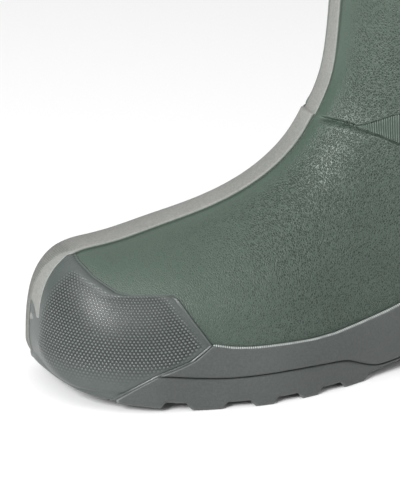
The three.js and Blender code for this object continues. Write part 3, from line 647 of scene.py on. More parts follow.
# The grain is full on the instep and the shaft, and fades beside the band and over the toes
from_ridge = np.abs(skin_round)
grain_field = ease(from_ridge, 9.0, 24.0) * lerp(0.35, 1.0, ease(skin[..., 0], 50.0, 135.0))
grain_field *= lerp(1.0, 0.55, ease(skin[..., 2], 150.0, 230.0))
skin_pattern = measure(skin_round, skin_run, grain_field)
faces_across = np.arange(columns - 1) - (columns - 1) / 2
on_band_face = (np.abs(faces_across) < 9).astype(int)[None, :] * 2
mouth_rows = np.concatenate([skin[-1:], mouth, lining[-1:]])
mouth_pattern = np.repeat(skin_pattern[-1:], len(mouth_rows), 0)
foot_edge_rows = []
for end in (0, -1):
    sill = bridge(skin[:, end], lining[:, end])[:int(np.argmax(closed)) + 1]
    foot_edge_rows.append((sill, np.repeat(skin_pattern[:len(sill), [end]], 3, 1), 0, end == 0))
upper = stitch("upper_shell", [
    (skin, skin_pattern, on_band_face, False), (lining, skin_pattern, 1, True),
    (mouth_rows, mouth_pattern, 0, False), *foot_edge_rows], [moss, knit, band_grey])
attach(upper, "root")
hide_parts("upper")


# Ankle ribs: a field of fine upright ribs in the recess behind the ankle, where the boot
# bends. Moulded with the upper, from the fold at the front right round the heel side.
NOSE_POWER = 2.2
guess_station, guess_turn = np.meshgrid(
    np.concatenate([30 * np.linspace(0.02, 1, 26) ** 2.2, np.linspace(34, 400, 74)]),
    np.linspace(-1, 1, 65)[:-1], indexing="ij")
guess_station, guess_turn = guess_station.ravel(), guess_turn.ravel()
guess_point = last_point(guess_station, guess_turn)


def find_on_last(origin, direction, proud):
    """Station and turn at which rays from inside the boot meet the last grown by proud.
    Newton's steps in station and turn close the two distances across the ray, from the nearest
    of a coarse table of points; the station steps in its root, as the nose closes as a power."""
    nearest = []
    for start in range(0, len(origin), 1500):
        o, d = origin[start:start + 1500], direction[start:start + 1500]
        along = d @ guess_point.T - np.sum(o * d, 1)[:, None]
        away = np.sum(guess_point ** 2, 1) - 2 * o @ guess_point.T + np.sum(o * o, 1)[:, None]
        nearest.append(np.where(along > 0, away - along ** 2, 1e9).argmin(1))
    nearest = np.concatenate(nearest)
    root, turn = guess_station[nearest] ** (1 / NOSE_POWER), guess_turn[nearest].copy()
    lean = np.where(np.abs(direction[:, [2]]) < 0.8, [[0.0, 0.0, 1.0]], [[1.0, 0.0, 0.0]])
    a = unit(np.cross(direction, lean))
    b = np.cross(direction, a)
    small = 0.002
    for _ in range(8):
        station = root ** NOSE_POWER
        here = last_point(station, turn)
        gap = here + last_normal(station, turn) * proud[:, None] - origin
        by_root = (last_point((root + small) ** NOSE_POWER, turn) - here) / small
        by_turn = (last_point(station, turn + small) - here) / small
        ra, rb = np.sum(by_root * a, 1), np.sum(by_root * b, 1)
        ta, tb = np.sum(by_turn * a, 1), np.sum(by_turn * b, 1)
        ga, gb = np.sum(gap * a, 1), np.sum(gap * b, 1)
        area = ra * tb - rb * ta
        area = np.where(np.abs(area) < 1e-9, 1e-9, area)
        root = np.clip(root - np.clip((ga * tb - gb * ta) / area, -0.7, 0.7), 0.02, 15.8)
        turn = turn - np.clip((ra * gb - rb * ga) / area, -0.08, 0.08)
    return root ** NOSE_POWER, turn


def meet_last(origin, direction, proud):
    """How far along rays from inside the boot the last, grown by proud, is met."""
    shape = np.broadcast_shapes(np.shape(origin), np.shape(direction))
    origin = np.broadcast_to(origin, shape).reshape(-1, 3)
    direction = unit(np.broadcast_to(direction, shape).reshape(-1, 3))
    proud = np.broadcast_to(proud, shape[:-1]).reshape(-1)
    at = find_on_last(origin, direction, proud)
    met = last_point(*at) + last_normal(*at) * proud[:, None]
    return np.sum((met - origin) * direction, 1).reshape(shape[:-1])


RIB_PITCH = 1.18
RIB_DEPTH = 0.5
RIB_BED = 2.95
RIB_START_X = 166.0
RIB_TURN_X = 245.0
RIB_MARGIN = 0.85
POINTS_PER_RIB = 6
RIB_OUT = 50.0
STRAIGHT = RIB_TURN_X - RIB_START_X
FAN = 150.0


def rib_rays(place, height):
    """Level rays to the recess. Place runs along the outer side, fans round the heel and comes
    back along the inner side; height is the share of the way from the foot's edge to the
    shaft's."""
    angle = np.clip((place - STRAIGHT) / FAN, 0, 1) * np.pi - np.pi / 2
    x = RIB_TURN_X - np.maximum(STRAIGHT - place, 0) - np.maximum(place - STRAIGHT - FAN, 0)
    way = np.stack([np.cos(angle), np.sin(angle), 0 * angle], -1)
    far = x + way[..., 0] * RIB_OUT
    z = lerp(height_on(FOOT_EDGE, far) + RIB_MARGIN, height_on(SHAFT_EDGE, far) - RIB_MARGIN, height)
    return np.stack([x, 0 * x, z], -1), way


coarse_place = np.linspace(0, 2 * STRAIGHT + FAN, 420)
# Rows over the ribs: share of the recess's height and share of full relief
RIB_ROWS = [(0.0, 0.0), (0.0, 0.5), (0.03, 0.85), (0.1, 1.0), (0.3, 1.0), (0.5, 1.0), (0.7, 1.0),
            (0.9, 1.0), (0.97, 0.85), (1.0, 0.5), (1.0, 0.0)]
rib_station, rib_turn = [], []
for height, _ in RIB_ROWS:
    eye, way = rib_rays(coarse_place, height)
    station, turn = find_on_last(eye, way, np.full(len(eye), -RIB_BED))
    rib_station.append(station)
    rib_turn.append((turn + 2) % 2)
middle_row = len(RIB_ROWS) // 2
rib_run = run_along(last_point(rib_station[middle_row], rib_turn[middle_row]))
rib_count = int(rib_run[-1] / RIB_PITCH)
fine_run = np.linspace(0, rib_run[-1], rib_count * POINTS_PER_RIB + 1)
rib_wave = (0.5 - 0.5 * np.cos(2 * np.pi * np.arange(len(fine_run)) / POINTS_PER_RIB)) ** 0.8
rib_wave *= ease(np.minimum(fine_run, rib_run[-1] - fine_run), -1.0, 9.0)
rib_top, rib_under = [], []
for (_, full), station, turn in zip(RIB_ROWS, rib_station, rib_turn):
    at = np.interp(fine_run, rib_run, station), np.interp(fine_run, rib_run, turn)
    base, out = last_point(*at), last_normal(*at)
    crest = full * (RIB_BED - RIB_STEP + 0.05 + RIB_DEPTH * rib_wave) - RIB_BED
    crest[[0, -1]] = -RIB_BED
    rib_top.append(base + out * crest[:, None])
    rib_under.append(base - out * RIB_BED)
rib_top, rib_under = np.array(rib_top), np.array(rib_under)
rib_pattern = measure(fine_run, np.arange(len(RIB_ROWS))[:, None] * 2.0, 0.1)
ribs = stitch("ankle_ribs", [
    (rib_top, rib_pattern, 0, True), (rib_under, rib_pattern, 0, False)], [moss])
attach(ribs, "root")


# Toe cap: a thick bumper moulded over the toe, from the tread up to the front band. A field of
# small raised dots covers its sides and fades out towards the ground.
CAP_PROUD = 1.7
CAP_FOOT_INSET = 1.0
# Heights between which the cap widens from the last to the outsole, and the round of its corner
CAP_FLARE = (27.0, 15.0)
CAP_CORNER = 4.0
SEAM_GAP = 0.3
CAP_EYE = np.array([90.0, 5.0, 34.0])
CAP_EYE_TO_TOE = 88.0
CAP_FRONT_SUNK = 0.5
# The strip's outer and inner edge at heights up the toe: it leans to the inner side going down
STRIP_EDGES = np.array([
    [6.0, 18.3, 27.8], [20.0, 15.8, 26.0], [36.0, 13.0, 24.0], [47.0, 10.8, 22.8],
    [54.7, 9.0, 22.0], [62.5, 7.0, 21.2], [71.0, 3.9, 20.0], [77.0, 0.2, 19.2]])
SOLE_OUTLINE = np.array([
    [0.006, 0.096], [0.0215, -0.157], [0.065, -0.328], [0.138, -0.450], [0.230, -0.519],
    [0.344, -0.576], [0.459, -0.540], [0.574, -0.450], [0.689, -0.407], [0.803, -0.410],
    [0.902, -0.372], [0.974, -0.230], [1.000, -0.009], [0.977, 0.215], [0.908, 0.355],
    [0.803, 0.396], [0.689, 0.396], [0.574, 0.410], [0.459, 0.434], [0.361, 0.468],
    [0.262, 0.481], [0.164, 0.458], [0.072, 0.358], [0.021, 0.240]]) * [FOOT_LENGTH, BALL_WIDTH]
GROUND = drawn([
    [-0.10, 1.10], [0.010, 0.59], [0.044, 0.385], [0.085, 0.268], [0.131, 0.172],
    [0.184, 0.070], [0.236, 0.0], [1.1, 0.0]], SOLE_HEIGHT)
CAP_BACK = np.array([
    [0.066, 0.530], [0.079, 0.489], [0.108, 0.443], [0.126, 0.435], [0.190, 0.435],
    [0.198, 0.422], [0.217, 0.344], [0.242, 0.256]]) * [FOOT_LENGTH, INSTEP_HEIGHT]
CAP_FOOT = np.array([
    [0.242, 0.256], [0.210, 0.200], [0.155, 0.148], [0.118, 0.096], [0.092, 0.052],
    [0.086, 0.041]]) * [FOOT_LENGTH, INSTEP_HEIGHT]


def outline_at(place):
    """The outsole's outline and its unit heading at a share of the way round, from the toe by
    the outer side: a closed Catmull-Rom curve through the table."""
    count = len(SOLE_OUTLINE)
    scaled = np.mod(place, 1.0) * count
    i = scaled.astype(int) % count
    q = (scaled - np.floor(scaled))[..., None]
    a, b, c, d = (SOLE_OUTLINE[(i + k) % count] for k in (-1, 0, 1, 2))
    m, n = (c - a) / 2, (d - b) / 2
    point = ((2 * q ** 3 - 3 * q ** 2 + 1) * b + (q ** 3 - 2 * q ** 2 + q) * m
             + (3 * q ** 2 - 2 * q ** 3) * c + (q ** 3 - q ** 2) * n)
    heading = unit((6 * q ** 2 - 6 * q) * b + (3 * q ** 2 - 4 * q + 1) * m
                   + (6 * q - 6 * q ** 2) * c + (3 * q ** 2 - 2 * q) * n)
    return point, heading


def inside_outline(place, inward):
    """Points a distance in from the outline."""
    at, heading = outline_at(place)
    return at + np.stack([-heading[..., 1], heading[..., 0]], -1) * inward


wall_line = inside_outline(np.linspace(0, 1, 1441), CAP_FOOT_INSET)
wall_angle = np.arctan2(wall_line[:, 1] - CAP_EYE[1], CAP_EYE[0] - wall_line[:, 0])
wall_reach = np.hypot(wall_line[:, 1] - CAP_EYE[1], wall_line[:, 0] - CAP_EYE[0])
wall_order = np.argsort(wall_angle)
wall_angle, wall_reach = wall_angle[wall_order], wall_reach[wall_order]


def cap_form(origin, direction, proud):
    """The cap's skin on rays from inside the toe: the grown last, widened near the ground to
    the outsole's outline, and rounded over on to the slope under the toe."""
    direction = unit(direction)
    reach = meet_last(origin, direction, proud)

    def outside_wall(far):
        p = origin + direction * far[..., None] - CAP_EYE
        limit = np.interp(np.arctan2(p[..., 1], -p[..., 0]), wall_angle, wall_reach)
        return np.hypot(p[..., 0], p[..., 1]) - limit

    def under_ground(far):
        p = origin + direction * far[..., None]
        return height_on(GROUND, p[..., 0]) - p[..., 2]
    nothing = np.zeros(np.shape(reach))
    wall = bisect(outside_wall, nothing, nothing + 200, 32)
    low = ease(origin[..., 2] + wall * direction[..., 2], *CAP_FLARE)
    reach = lerp(reach, np.maximum(reach, wall), low)
    ground = bisect(under_ground, nothing, nothing + 400, 32)
    share = np.clip(0.5 + 0.5 * (ground - reach) / CAP_CORNER, 0, 1)
    reach = lerp(ground, reach, share) - CAP_CORNER * share * (1 - share)
    return origin + direction * reach[..., None]


def cap_leaves(base, way):
    """Direction from the eye to where a line from inside the toe comes out of the cap."""
    def over(far):
        target = base + way * far[:, None]
        met = cap_form(CAP_EYE, target - CAP_EYE, CAP_PROUD)
        return np.linalg.norm(target - CAP_EYE, axis=1) - np.linalg.norm(met - CAP_EYE, axis=1)
    far = bisect(over, np.zeros(len(base)), np.full(len(base), 75.0), 18)
    return unit(base + way * far[:, None] - CAP_EYE)


def even_steps(line, step):
    """A line's own corners with evenly spaced points between them."""
    made = []
    for a, b in zip(line[:-1], line[1:]):
        count = max(1, int(round(np.hypot(*(b - a)) / step)))
        made.append(lerp(a, b, np.linspace(0, 1, count + 1)[:-1, None]))
    return np.concatenate([*made, line[-1:]])


CAP_EDGE_STEP = 1.15
TOP_POINTS = 14
side_line = even_steps(np.vstack([CAP_BACK, CAP_FOOT[1:]]), CAP_EDGE_STEP)
ridge_y = 9.3
top_share = np.linspace(0, 1, TOP_POINTS + 1)[:-1]
TOP_START = 45.0
edge_ways = []
for side in (-1.0, 1.0):
    base = np.column_stack([side_line[:, 0], np.full(len(side_line), ridge_y), side_line[:, 1]])
    by_side = cap_leaves(base, np.broadcast_to([0.0, side, 0.0], base.shape))
    first = CAP_EYE + by_side[0] * meet_last(CAP_EYE, by_side[0], CAP_PROUD)
    top = np.column_stack([np.full(TOP_POINTS, side_line[0, 0]), lerp(ridge_y, first[1], top_share),
                           np.full(TOP_POINTS, TOP_START)])
    by_top = cap_leaves(top, np.broadcast_to([0.0, 0.0, 1.0], top.shape))
    edge_ways.append(np.concatenate([by_top, by_side]))
UNDER_POINTS = 48
edge_end = side_line[-1, 0] - CAP_EYE[0]
sole_y = [CAP_EYE[1] + way[-1, 1] / way[-1, 0] * edge_end for way in edge_ways]
under_y = np.linspace(sole_y[0], sole_y[1], UNDER_POINTS + 2)[1:-1]
under_x = np.full(UNDER_POINTS, side_line[-1, 0])
under = unit(np.column_stack([under_x, under_y, height_on(GROUND, under_x)]) - CAP_EYE)
edge_way = np.concatenate([edge_ways[0], under, edge_ways[1][::-1]])
nose_way = unit(last_point(0.0, 0.0) - CAP_EYE)
opening = np.arccos(np.clip(edge_way @ nose_way, -1, 1))


def cap_way(share):
    """Directions at a share of the angle from the nose to each point of the cap's edge."""
    a = np.sin((1 - share) * opening)[..., None] * nose_way
    b = np.sin(share * opening)[..., None] * edge_way
    return unit(a + b)


EDGE_STEP = 0.02
near_edge = (cap_form(CAP_EYE, cap_way(1.0), CAP_PROUD)
             - cap_form(CAP_EYE, cap_way(1.0 - EDGE_STEP), CAP_PROUD))
edge_scale = np.linalg.norm(near_edge, axis=1) / EDGE_STEP
# Rows from the edge inwards: distance, height on the soft rear edge, height on the crisp one
CAP_EDGE = [
    (0.0, -1.5, -1.5), (0.2, -1.3, -0.35), (0.42, -1.08, 0.12), (0.7, -0.82, 0.2),
    (1.0, -0.58, 0.0), (1.35, -0.36, -0.35), (1.8, -0.16, -0.42), (2.4, 0.02, -0.12),
    (3.2, 0.14, 0.0), (4.3, 0.16, 0.0), (5.8, 0.09, 0.0), (7.6, 0.03, 0.0)]
CAP_BEND_X = 0.192 * FOOT_LENGTH
crisp = np.zeros(len(edge_way))
count = len(side_line)
edge_x = side_line[:, 0]
after_bend = np.arange(count) > np.argmax(edge_x > CAP_BEND_X)
on_side = np.where(after_bend, 1.0, 0.0)
on_side = np.convolve(np.pad(on_side, 2, mode="edge"), np.ones(5) / 5, mode="valid")
crisp[TOP_POINTS:TOP_POINTS + count] = on_side
crisp[len(crisp) - TOP_POINTS - count:len(crisp) - TOP_POINTS] = on_side[::-1]
CAP_ROWS = 66
shares, cap_lift = [], []
for off, soft_lift, crisp_lift in CAP_EDGE:
    shares.append(1 - off / edge_scale)
    cap_lift.append(lerp(soft_lift, crisp_lift, crisp))
for share in np.linspace(1, 0, CAP_ROWS + 1)[1:]:
    shares.append(shares[len(CAP_EDGE) - 1] * share)
    cap_lift.append(np.zeros(len(edge_way)))
shares, cap_lift = np.array(shares), np.array(cap_lift)
ways = cap_way(shares)
# Beside the strip the cap lies closer to the last
_, near_y, near_z = np.moveaxis(CAP_EYE + ways * CAP_EYE_TO_TOE, -1, 0)
strip_y = np.interp(near_z, STRIP_EDGES[:, 0], STRIP_EDGES[:, 1:].mean(1))
cap_sunk = CAP_FRONT_SUNK * (1 - ease(np.abs(near_y - strip_y), 14.0, 28.0))
cap_base = cap_form(CAP_EYE, ways, CAP_PROUD - cap_sunk)
cap_base[-1] = cap_base[-1].mean(0)


def grid_normals(grid):
    """Unit normals of a grid of points: across its own two directions."""
    return unit(np.cross(np.gradient(grid, axis=1), np.gradient(grid, axis=0)))


def close_round(grid):
    """A grid with its first column once more after its last."""
    return np.concatenate([grid, grid[:, :1]], 1)


cap_out = grid_normals(cap_base)
cap_out *= np.sign(np.sum(cap_out * ways, -1, keepdims=True))
cap_out[-1] = unit(cap_out[-2].mean(0))
cap_skin = cap_base + cap_out * cap_lift[..., None]
cap_inside = CAP_EYE + ways * meet_last(CAP_EYE, ways, SEAM_GAP)[..., None]
floor_z = height_on(FEATHER, cap_inside[..., 0])
sunk = cap_inside[..., 2] < floor_z
scale = (floor_z - CAP_EYE[2]) / np.where(sunk, ways[..., 2], -1.0)
cap_inside = np.where(sunk[..., None], CAP_EYE + ways * scale[..., None], cap_inside)
cap_inside[-1] = cap_inside[-1].mean(0)
cap_skin, cap_inside = close_round(cap_skin), close_round(cap_inside)
cap_rim = np.stack([lerp(cap_skin[0], cap_inside[0], q) for q in (0.0, 0.5, 1.0)])
# The pattern lies as on a round toe of its own middle and radius
PATTERN_MIDDLE = [60.0, 8.0, 0.0]
PATTERN_RADIUS = 56.0
spread = cap_skin - PATTERN_MIDDLE
around = np.arctan2(spread[..., 1], -spread[..., 0]) * PATTERN_RADIUS
radius = np.hypot(spread[..., 0], spread[..., 1])
# The dots keep clear of the strip and the rear edge, and fade out towards the ground, and
# fine ribs run out from the strip over the front of the cap
cap_margin = close_round((1 - shares) * edge_scale)
strip_low, strip_outer, strip_inner = STRIP_EDGES.T
from_strip = np.maximum(np.interp(cap_skin[..., 2], strip_low, strip_outer) - cap_skin[..., 1],
                        cap_skin[..., 1] - np.interp(cap_skin[..., 2], strip_low, strip_inner))
dot_field = ease(cap_skin[..., 2], 13.0, 30.0) * ease(cap_margin, 3.0, 8.5)
dot_field *= ease(from_strip, 7.0, 19.0)
dot_field -= 0.9 * (1 - ease(from_strip, 5.0, 20.0)) * ease(cap_skin[..., 2], 4.0, 12.0)
cap_pattern = measure(around, cap_skin[..., 2] + 0.6 * (PATTERN_RADIUS - radius), dot_field)

# Relief of the cap: raised dots in staggered rows, or level ribs where the field is below 0
CAP_RIB_PITCH = 0.0009
dots, d_in, d_out = effect(
    "cap_dots", {"Place": (0.0, 0.0, 0.0), "Pitch": 0.0019, "Field": 1.0},
    {"Height": "Float", "Pits": "Float"})
rows_apart = math.sqrt(3)
per_pitch = vectors(dots, "SCALE", d_in["Place"], Scale=maths(dots, "DIVIDE", 1.0, d_in["Pitch"]))
per_pitch = vectors(dots, "MULTIPLY", per_pitch, (1.0, 1 / rows_apart, 0.0))
to_dot = []
for shift in (0.0, 0.5):
    cell = vectors(dots, "FRACTION", vectors(dots, "ADD", per_pitch, (shift, shift, 0.0)))
    cell = vectors(dots, "MULTIPLY_ADD", cell, (1.0, rows_apart, 0.0), (-0.5, -0.5 * rows_apart, 0.0))
    to_dot.append(put(dots, "VectorMath", {"operation": "LENGTH"}, i0=cell).outputs["Value"])
near_dot = maths(dots, "MINIMUM", *to_dot)
dotted = maths(dots, "MAXIMUM", d_in["Field"], 0.0)
dot = maths(dots, "MULTIPLY", fade(dots, near_dot, 0.14, 0.42, 1.0, 0.0), dotted)
up = put(dots, "SeparateXYZ", i0=d_in["Place"]).outputs[1]
rib = maths(dots, "SINE", maths(dots, "MULTIPLY", up, 2 * math.pi / CAP_RIB_PITCH))
rib = maths(dots, "MULTIPLY", rib, maths(dots, "MINIMUM", d_in["Field"], 0.0))
dot = maths(dots, "MULTIPLY_ADD", rib, 0.16, dot)
fine = put(dots, "TexNoise", Vector=d_in["Place"], Scale=2200.0, Detail=1.0)
fine = maths(dots, "MULTIPLY_ADD", fine.outputs[0], 0.16, -0.08)
dots.links.new(maths(dots, "ADD", dot, fine), d_out["Height"])
# Pits: mostly the ground between the dots, darkened in the cast as dirt and painted shade
full = maths(dots, "MULTIPLY_ADD", dotted, 0.45, 0.55)
dirt_and_shade_between_dots = maths(dots, "SUBTRACT", full, maths(dots, "ADD", dot, fine))
dots.links.new(dirt_and_shade_between_dots, d_out["Pits"])
cap_rubber = rubber("cap_rubber", (0.092, 0.113, 0.105), (0.124, 0.147, 0.139), (0.19, 0.215, 0.20),
                    dots, {"Pitch": 0.0019}, depth=0.86, gloss=0.15, bump=0.0003, on_pattern=True)
cap = stitch("cap_shell", [
    (cap_skin, cap_pattern, 0, False), (cap_inside, cap_pattern, 0, True),
    (cap_rim, cap_pattern[:3], 0, True)], [cap_rubber])
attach(cap, "root")
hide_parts("toe_cap")


# Toe band: the front band where it runs down over the cap, a separate thin strip with fine
# ribs across it, from the step at the cap's rear edge down to the tread.
# The strip starts below the band of the upper and climbs to its full height over the ramp
STRIP_PROUD = 0.85
STRIP_START_SUNK = 0.25
STRIP_RAMP = 12.0
STRIP_PITCH = 1.05
STRIP_RIB_DEPTH = 0.26
BAND_EYE = np.array([62.0, 0.0, 36.0])
STRIP_REACH = 60.0
STRIP_ROWS = 440
STRIP_BURIED = 0.8
strip_angles = np.radians(np.linspace(47.5, -23.5, STRIP_ROWS))
strip_middle = np.stack([-np.cos(strip_angles), 0 * strip_angles, np.sin(strip_angles)], -1)
# Across the strip: place from one edge to the other, and share of the height there
STRIP_ACROSS = np.array([
    -1.0, -1.0, -0.985, -0.95, -0.88, -0.72, -0.48, -0.24, 0.0,
    0.24, 0.48, 0.72, 0.88, 0.95, 0.985, 1.0, 1.0])
STRIP_LIFT = np.array([0, 0.6, 0.86, 1, 1, 1, 1, 1, 1, 1, 1, 1, 1, 1, 0.86, 0.6, 0])
strip_eye = np.tile(BAND_EYE, (STRIP_ROWS, len(STRIP_ACROSS), 1))
strip_way = np.broadcast_to(strip_middle[:, None], strip_eye.shape)
strip_height_z = BAND_EYE[2] + STRIP_REACH * np.sin(strip_angles)
outer_edge = np.interp(strip_height_z, strip_low, strip_outer)[:, None]
inner_edge = np.interp(strip_height_z, strip_low, strip_inner)[:, None]
strip_eye[..., 1] = lerp(outer_edge, inner_edge, (STRIP_ACROSS + 1) / 2)
strip_proud = CAP_PROUD - CAP_FRONT_SUNK * ease(np.arange(STRIP_ROWS), 0, 60)[:, None]
strip_base = cap_form(strip_eye, strip_way, strip_proud)
strip_out = grid_normals(strip_base)
strip_out *= np.sign(np.sum(strip_out * strip_way, -1, keepdims=True))
# The two columns of each side wall start in one place, and take their neighbour's normal
strip_out[:, :2], strip_out[:, -2:] = strip_out[:, [2]], strip_out[:, [-3]]
strip_run = run_along(strip_base[:, len(STRIP_ACROSS) // 2])
strip_wave = 0.5 - 0.5 * np.cos(2 * np.pi * strip_run / STRIP_PITCH)
strip_end = np.minimum(strip_run, strip_run[-1] - strip_run)
strip_full = np.minimum(1, np.where(strip_end <= 0, 0, 0.6 + strip_end))
flat_share = np.clip((1 - np.abs(STRIP_ACROSS)) / 0.04, 0, 1)
strip_rise = STRIP_PROUD * ease(strip_run, 0.0, STRIP_RAMP)[:, None] - STRIP_START_SUNK
strip_height = (strip_rise + STRIP_BURIED) * STRIP_LIFT * strip_full[:, None] - STRIP_BURIED
strip_ribs = ((strip_wave - 1) * (strip_end > 0.3))[:, None] * STRIP_RIB_DEPTH
strip_height = strip_height + flat_share * strip_ribs
strip_top = strip_base + strip_out * strip_height[..., None]
strip_under = strip_base - strip_out * STRIP_BURIED
strip_pattern = measure(STRIP_ACROSS * TOE_BAND_HALF, strip_run[:, None], 0.3)
strip_grey = rubber("strip_grey_rubber", (0.125, 0.13, 0.12), (0.18, 0.184, 0.172), (0.27, 0.275, 0.26),
                    grain, BAND_GRAIN, depth=0.55, gloss=0.62, bump=0.0002)
toe_band = stitch("toe_band", [
    (strip_top, strip_pattern, 0, True), (strip_under, strip_pattern, 0, False)], [strip_grey])
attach(toe_band, "root")


# Rand: the strip of firm rubber moulded round the joint of upper and sole. It flares from the
# piping along its top to the outsole's edge, and meets the outsole in a narrow groove.
RAND_TOP_PROUD = 1.6
RAND_FOOT_PROUD = 6.0
RAND_OVERHANG = 1.5
PIPING = drawn([
    [0.120, 0.256], [0.242, 0.256], [0.277, 0.237], [0.315, 0.228], [0.361, 0.223],
    [0.423, 0.217], [0.466, 0.221], [0.515, 0.237], [0.567, 0.259], [0.600, 0.278],
    [0.640, 0.301], [0.705, 0.332], [0.787, 0.352], [1.1, 0.363]], INSTEP_HEIGHT, 4.0)
GROOVE = drawn([
    [-0.1, 1.000], [0.151, 1.000], [0.181, 0.956], [0.212, 0.895], [0.243, 0.850],
    [0.274, 0.830], [0.338, 0.846], [0.373, 0.844], [0.409, 0.829], [0.447, 0.796],
    [0.470, 0.775], [0.486, 0.731], [0.502, 0.630], [0.519, 0.505], [0.535, 0.400],
    [0.550, 0.325], [0.569, 0.315], [0.596, 0.353], [0.615, 0.440], [0.640, 0.580],
    [0.682, 0.790], [0.728, 0.950], [0.787, 1.000], [1.1, 1.000]], SOLE_HEIGHT, 3.0)
OUTLINE_STEPS = 4800
outline_places = np.linspace(0, 1, OUTLINE_STEPS + 1)
outline_points, _ = outline_at(outline_places)
HEEL_PLACE = outline_places[outline_points[:, 0].argmax()]


def place_at(x, inner):
    """Share of the way round the outline at which its outer or inner side passes x."""
    cut = int(HEEL_PLACE * OUTLINE_STEPS)
    if inner:
        return np.interp(-x, -outline_points[cut:, 0], outline_places[cut:])
    return np.interp(x, outline_points[:cut, 0], outline_places[:cut])


def cap_foot_x(z):
    """Where the toe cap's foot line lies at a height, carried on below its last corner."""
    low = [[0.080 * FOOT_LENGTH, -0.1 * INSTEP_HEIGHT]]
    line = np.vstack([CAP_FOOT[:-1], low])[::-1]
    return np.interp(z, line[:, 1], line[:, 0])


def start_x(low, high, height):
    """Where a row that keeps to a share of the way from one side line to another comes near the
    toe cap's foot line: settled by going back and forth between the two."""
    x = np.full(np.shape(height), 50.0)
    for _ in range(60):
        z = lerp(height_on(low, x), height_on(high, x), height)
        x = lerp(x, cap_foot_x(z) + SEAM_GAP / 2, 0.5)
    return x


def round_places(start, along):
    """Places on the outline from a start on the outer side, by the heel, to the same on the
    inner side: even in the share of each side."""
    outer = lerp(place_at(start, False), HEEL_PLACE, np.minimum(along * 2, 1))
    inner = lerp(place_at(start, True), HEEL_PLACE, np.minimum(2 - along * 2, 1))
    return np.where(along <= 0.5, outer, inner)


RAND_COLUMNS = 620
rand_along = np.linspace(0, 1, RAND_COLUMNS + 1)
# Rows from the groove up: share of the height, step in from the flared face
RAND_EDGE = [
    (0.0, 3.6), (0.0, 2.2), (0.012, 1.35), (0.035, 0.75), (0.07, 0.3), (0.12, 0.06), (0.2, 0.0),
    (0.32, 0.0), (0.45, 0.0), (0.58, 0.0), (0.7, 0.0), (0.8, 0.0), (0.88, 0.0), (0.94, 0.0),
    (0.98, 0.1), (1.0, 0.5), (1.0, 1.2)]
rand_height, rand_in = np.array(RAND_EDGE).T[..., None]
RAND_START = start_x(GROOVE, PIPING, rand_height)
rand_place = round_places(RAND_START, rand_along[None, :])
EYE_DEPTH = 30.0
RAND_ROUND = 2.0


def on_rand(place, height, proud_in):
    """The rand's face at places round the outline and shares of its height: horizontal rays
    from inside meet the last grown by a straight flare, kept to the outline's overhang."""
    at, heading = outline_at(place)
    out = np.stack([heading[..., 1], -heading[..., 0], 0 * place], -1)
    x = at[..., 0]
    proud = lerp(RAND_FOOT_PROUD, RAND_TOP_PROUD, height)
    limit = EYE_DEPTH + RAND_OVERHANG
    for _ in range(2):
        z = lerp(height_on(GROOVE, x) + SEAM_GAP, height_on(PIPING, x), height)
        eye = np.concatenate([at, z[..., None]], -1) - out * EYE_DEPTH
        reach = meet_last(eye, out, proud)
        share = np.clip(0.5 + 0.5 * (limit - reach) / RAND_ROUND, 0, 1)
        reach = lerp(limit, reach, share) - RAND_ROUND * share * (1 - share) * 0.5
        face = eye + out * reach[..., None]
        x = face[..., 0]
    return face - out * proud_in[..., None], out, z


rand_face, rand_out, rand_z = on_rand(
    rand_place, np.broadcast_to(rand_height, rand_place.shape),
    np.broadcast_to(rand_in, rand_place.shape))
WALL_EYE_DEPTH = 25.0
depth_in = meet_last(
    np.concatenate([rand_face[..., :2], rand_z[..., None]], -1) - rand_out * WALL_EYE_DEPTH,
    rand_out, SEAM_GAP) - WALL_EYE_DEPTH
rand_wall = rand_face + rand_out * np.minimum(depth_in, -0.05)[..., None]
rand_wall[0], rand_wall[-1] = rand_face[0], rand_face[-1]
rand_run = np.cumsum(np.linalg.norm(np.diff(rand_face, axis=1, prepend=rand_face[:, :1]), axis=-1), 1)
rand_pattern = measure(rand_run, rand_face[..., 2], 0.25)
FIRM_GRAIN = {"Pits_per_metre": 1500.0, "Bend": 0.5}
sole_rubber = rubber("sole_rubber", (0.045, 0.051, 0.049), (0.067, 0.075, 0.072), (0.17, 0.185, 0.18),
                     grain, FIRM_GRAIN, depth=0.3, gloss=0.42, bump=0.00015)
ends = []
for end in (0, -1):
    closing = bridge(rand_face[:, end], rand_wall[:, end])
    ends.append((closing, np.repeat(rand_pattern[:, [end]], 3, 1), 0, end == -1))
rand = stitch("rand_strip", [
    (rand_face, rand_pattern, 0, True), (rand_wall, rand_pattern, 0, False), *ends], [sole_rubber])
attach(rand, "root")
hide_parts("rand")


# Piping: the knurled bead along the rand's top, of the rand's rubber, painted lighter than the rand and
# with a strong painted highlight on its ribs. It is moulded with the rand, from one side of the toe cap
# round the heel to the other.
RINGS_PER_KNURL = 5


def bead(path, out, pitch, radius, swell, sides=8):
    """A round bead carried along a path of points, its radius swelling and shrinking at every
    pitch, and running out to nothing at both ends."""
    run = run_along(path)
    rings = int(run[-1] / pitch) * RINGS_PER_KNURL + 1
    at = np.linspace(0, run[-1], rings)
    centre = np.stack([np.interp(at, run, path[:, k]) for k in range(3)], -1)
    rise = unit(np.stack([np.interp(at, run, out[:, k]) for k in range(3)], -1))
    heading = unit(np.gradient(centre, axis=0))
    side = np.cross(heading, rise)
    wave = 1 - swell * (0.5 + 0.5 * np.cos(2 * np.pi * np.arange(rings) / RINGS_PER_KNURL))
    thick = radius * wave * np.sqrt(np.clip(np.minimum(at, run[-1] - at) / 1.5, 0, 1))
    turn = np.linspace(0, 2 * np.pi, sides + 1)
    tube = centre[:, None] + thick[:, None, None] * (
        np.cos(turn)[None, :, None] * rise[:, None] + np.sin(turn)[None, :, None] * side[:, None])
    tube[:, -1] = tube[:, 0]
    tube[0], tube[-1] = centre[0], centre[-1]
    return tube, measure(turn[None, :] * radius, at[:, None]), 0, True


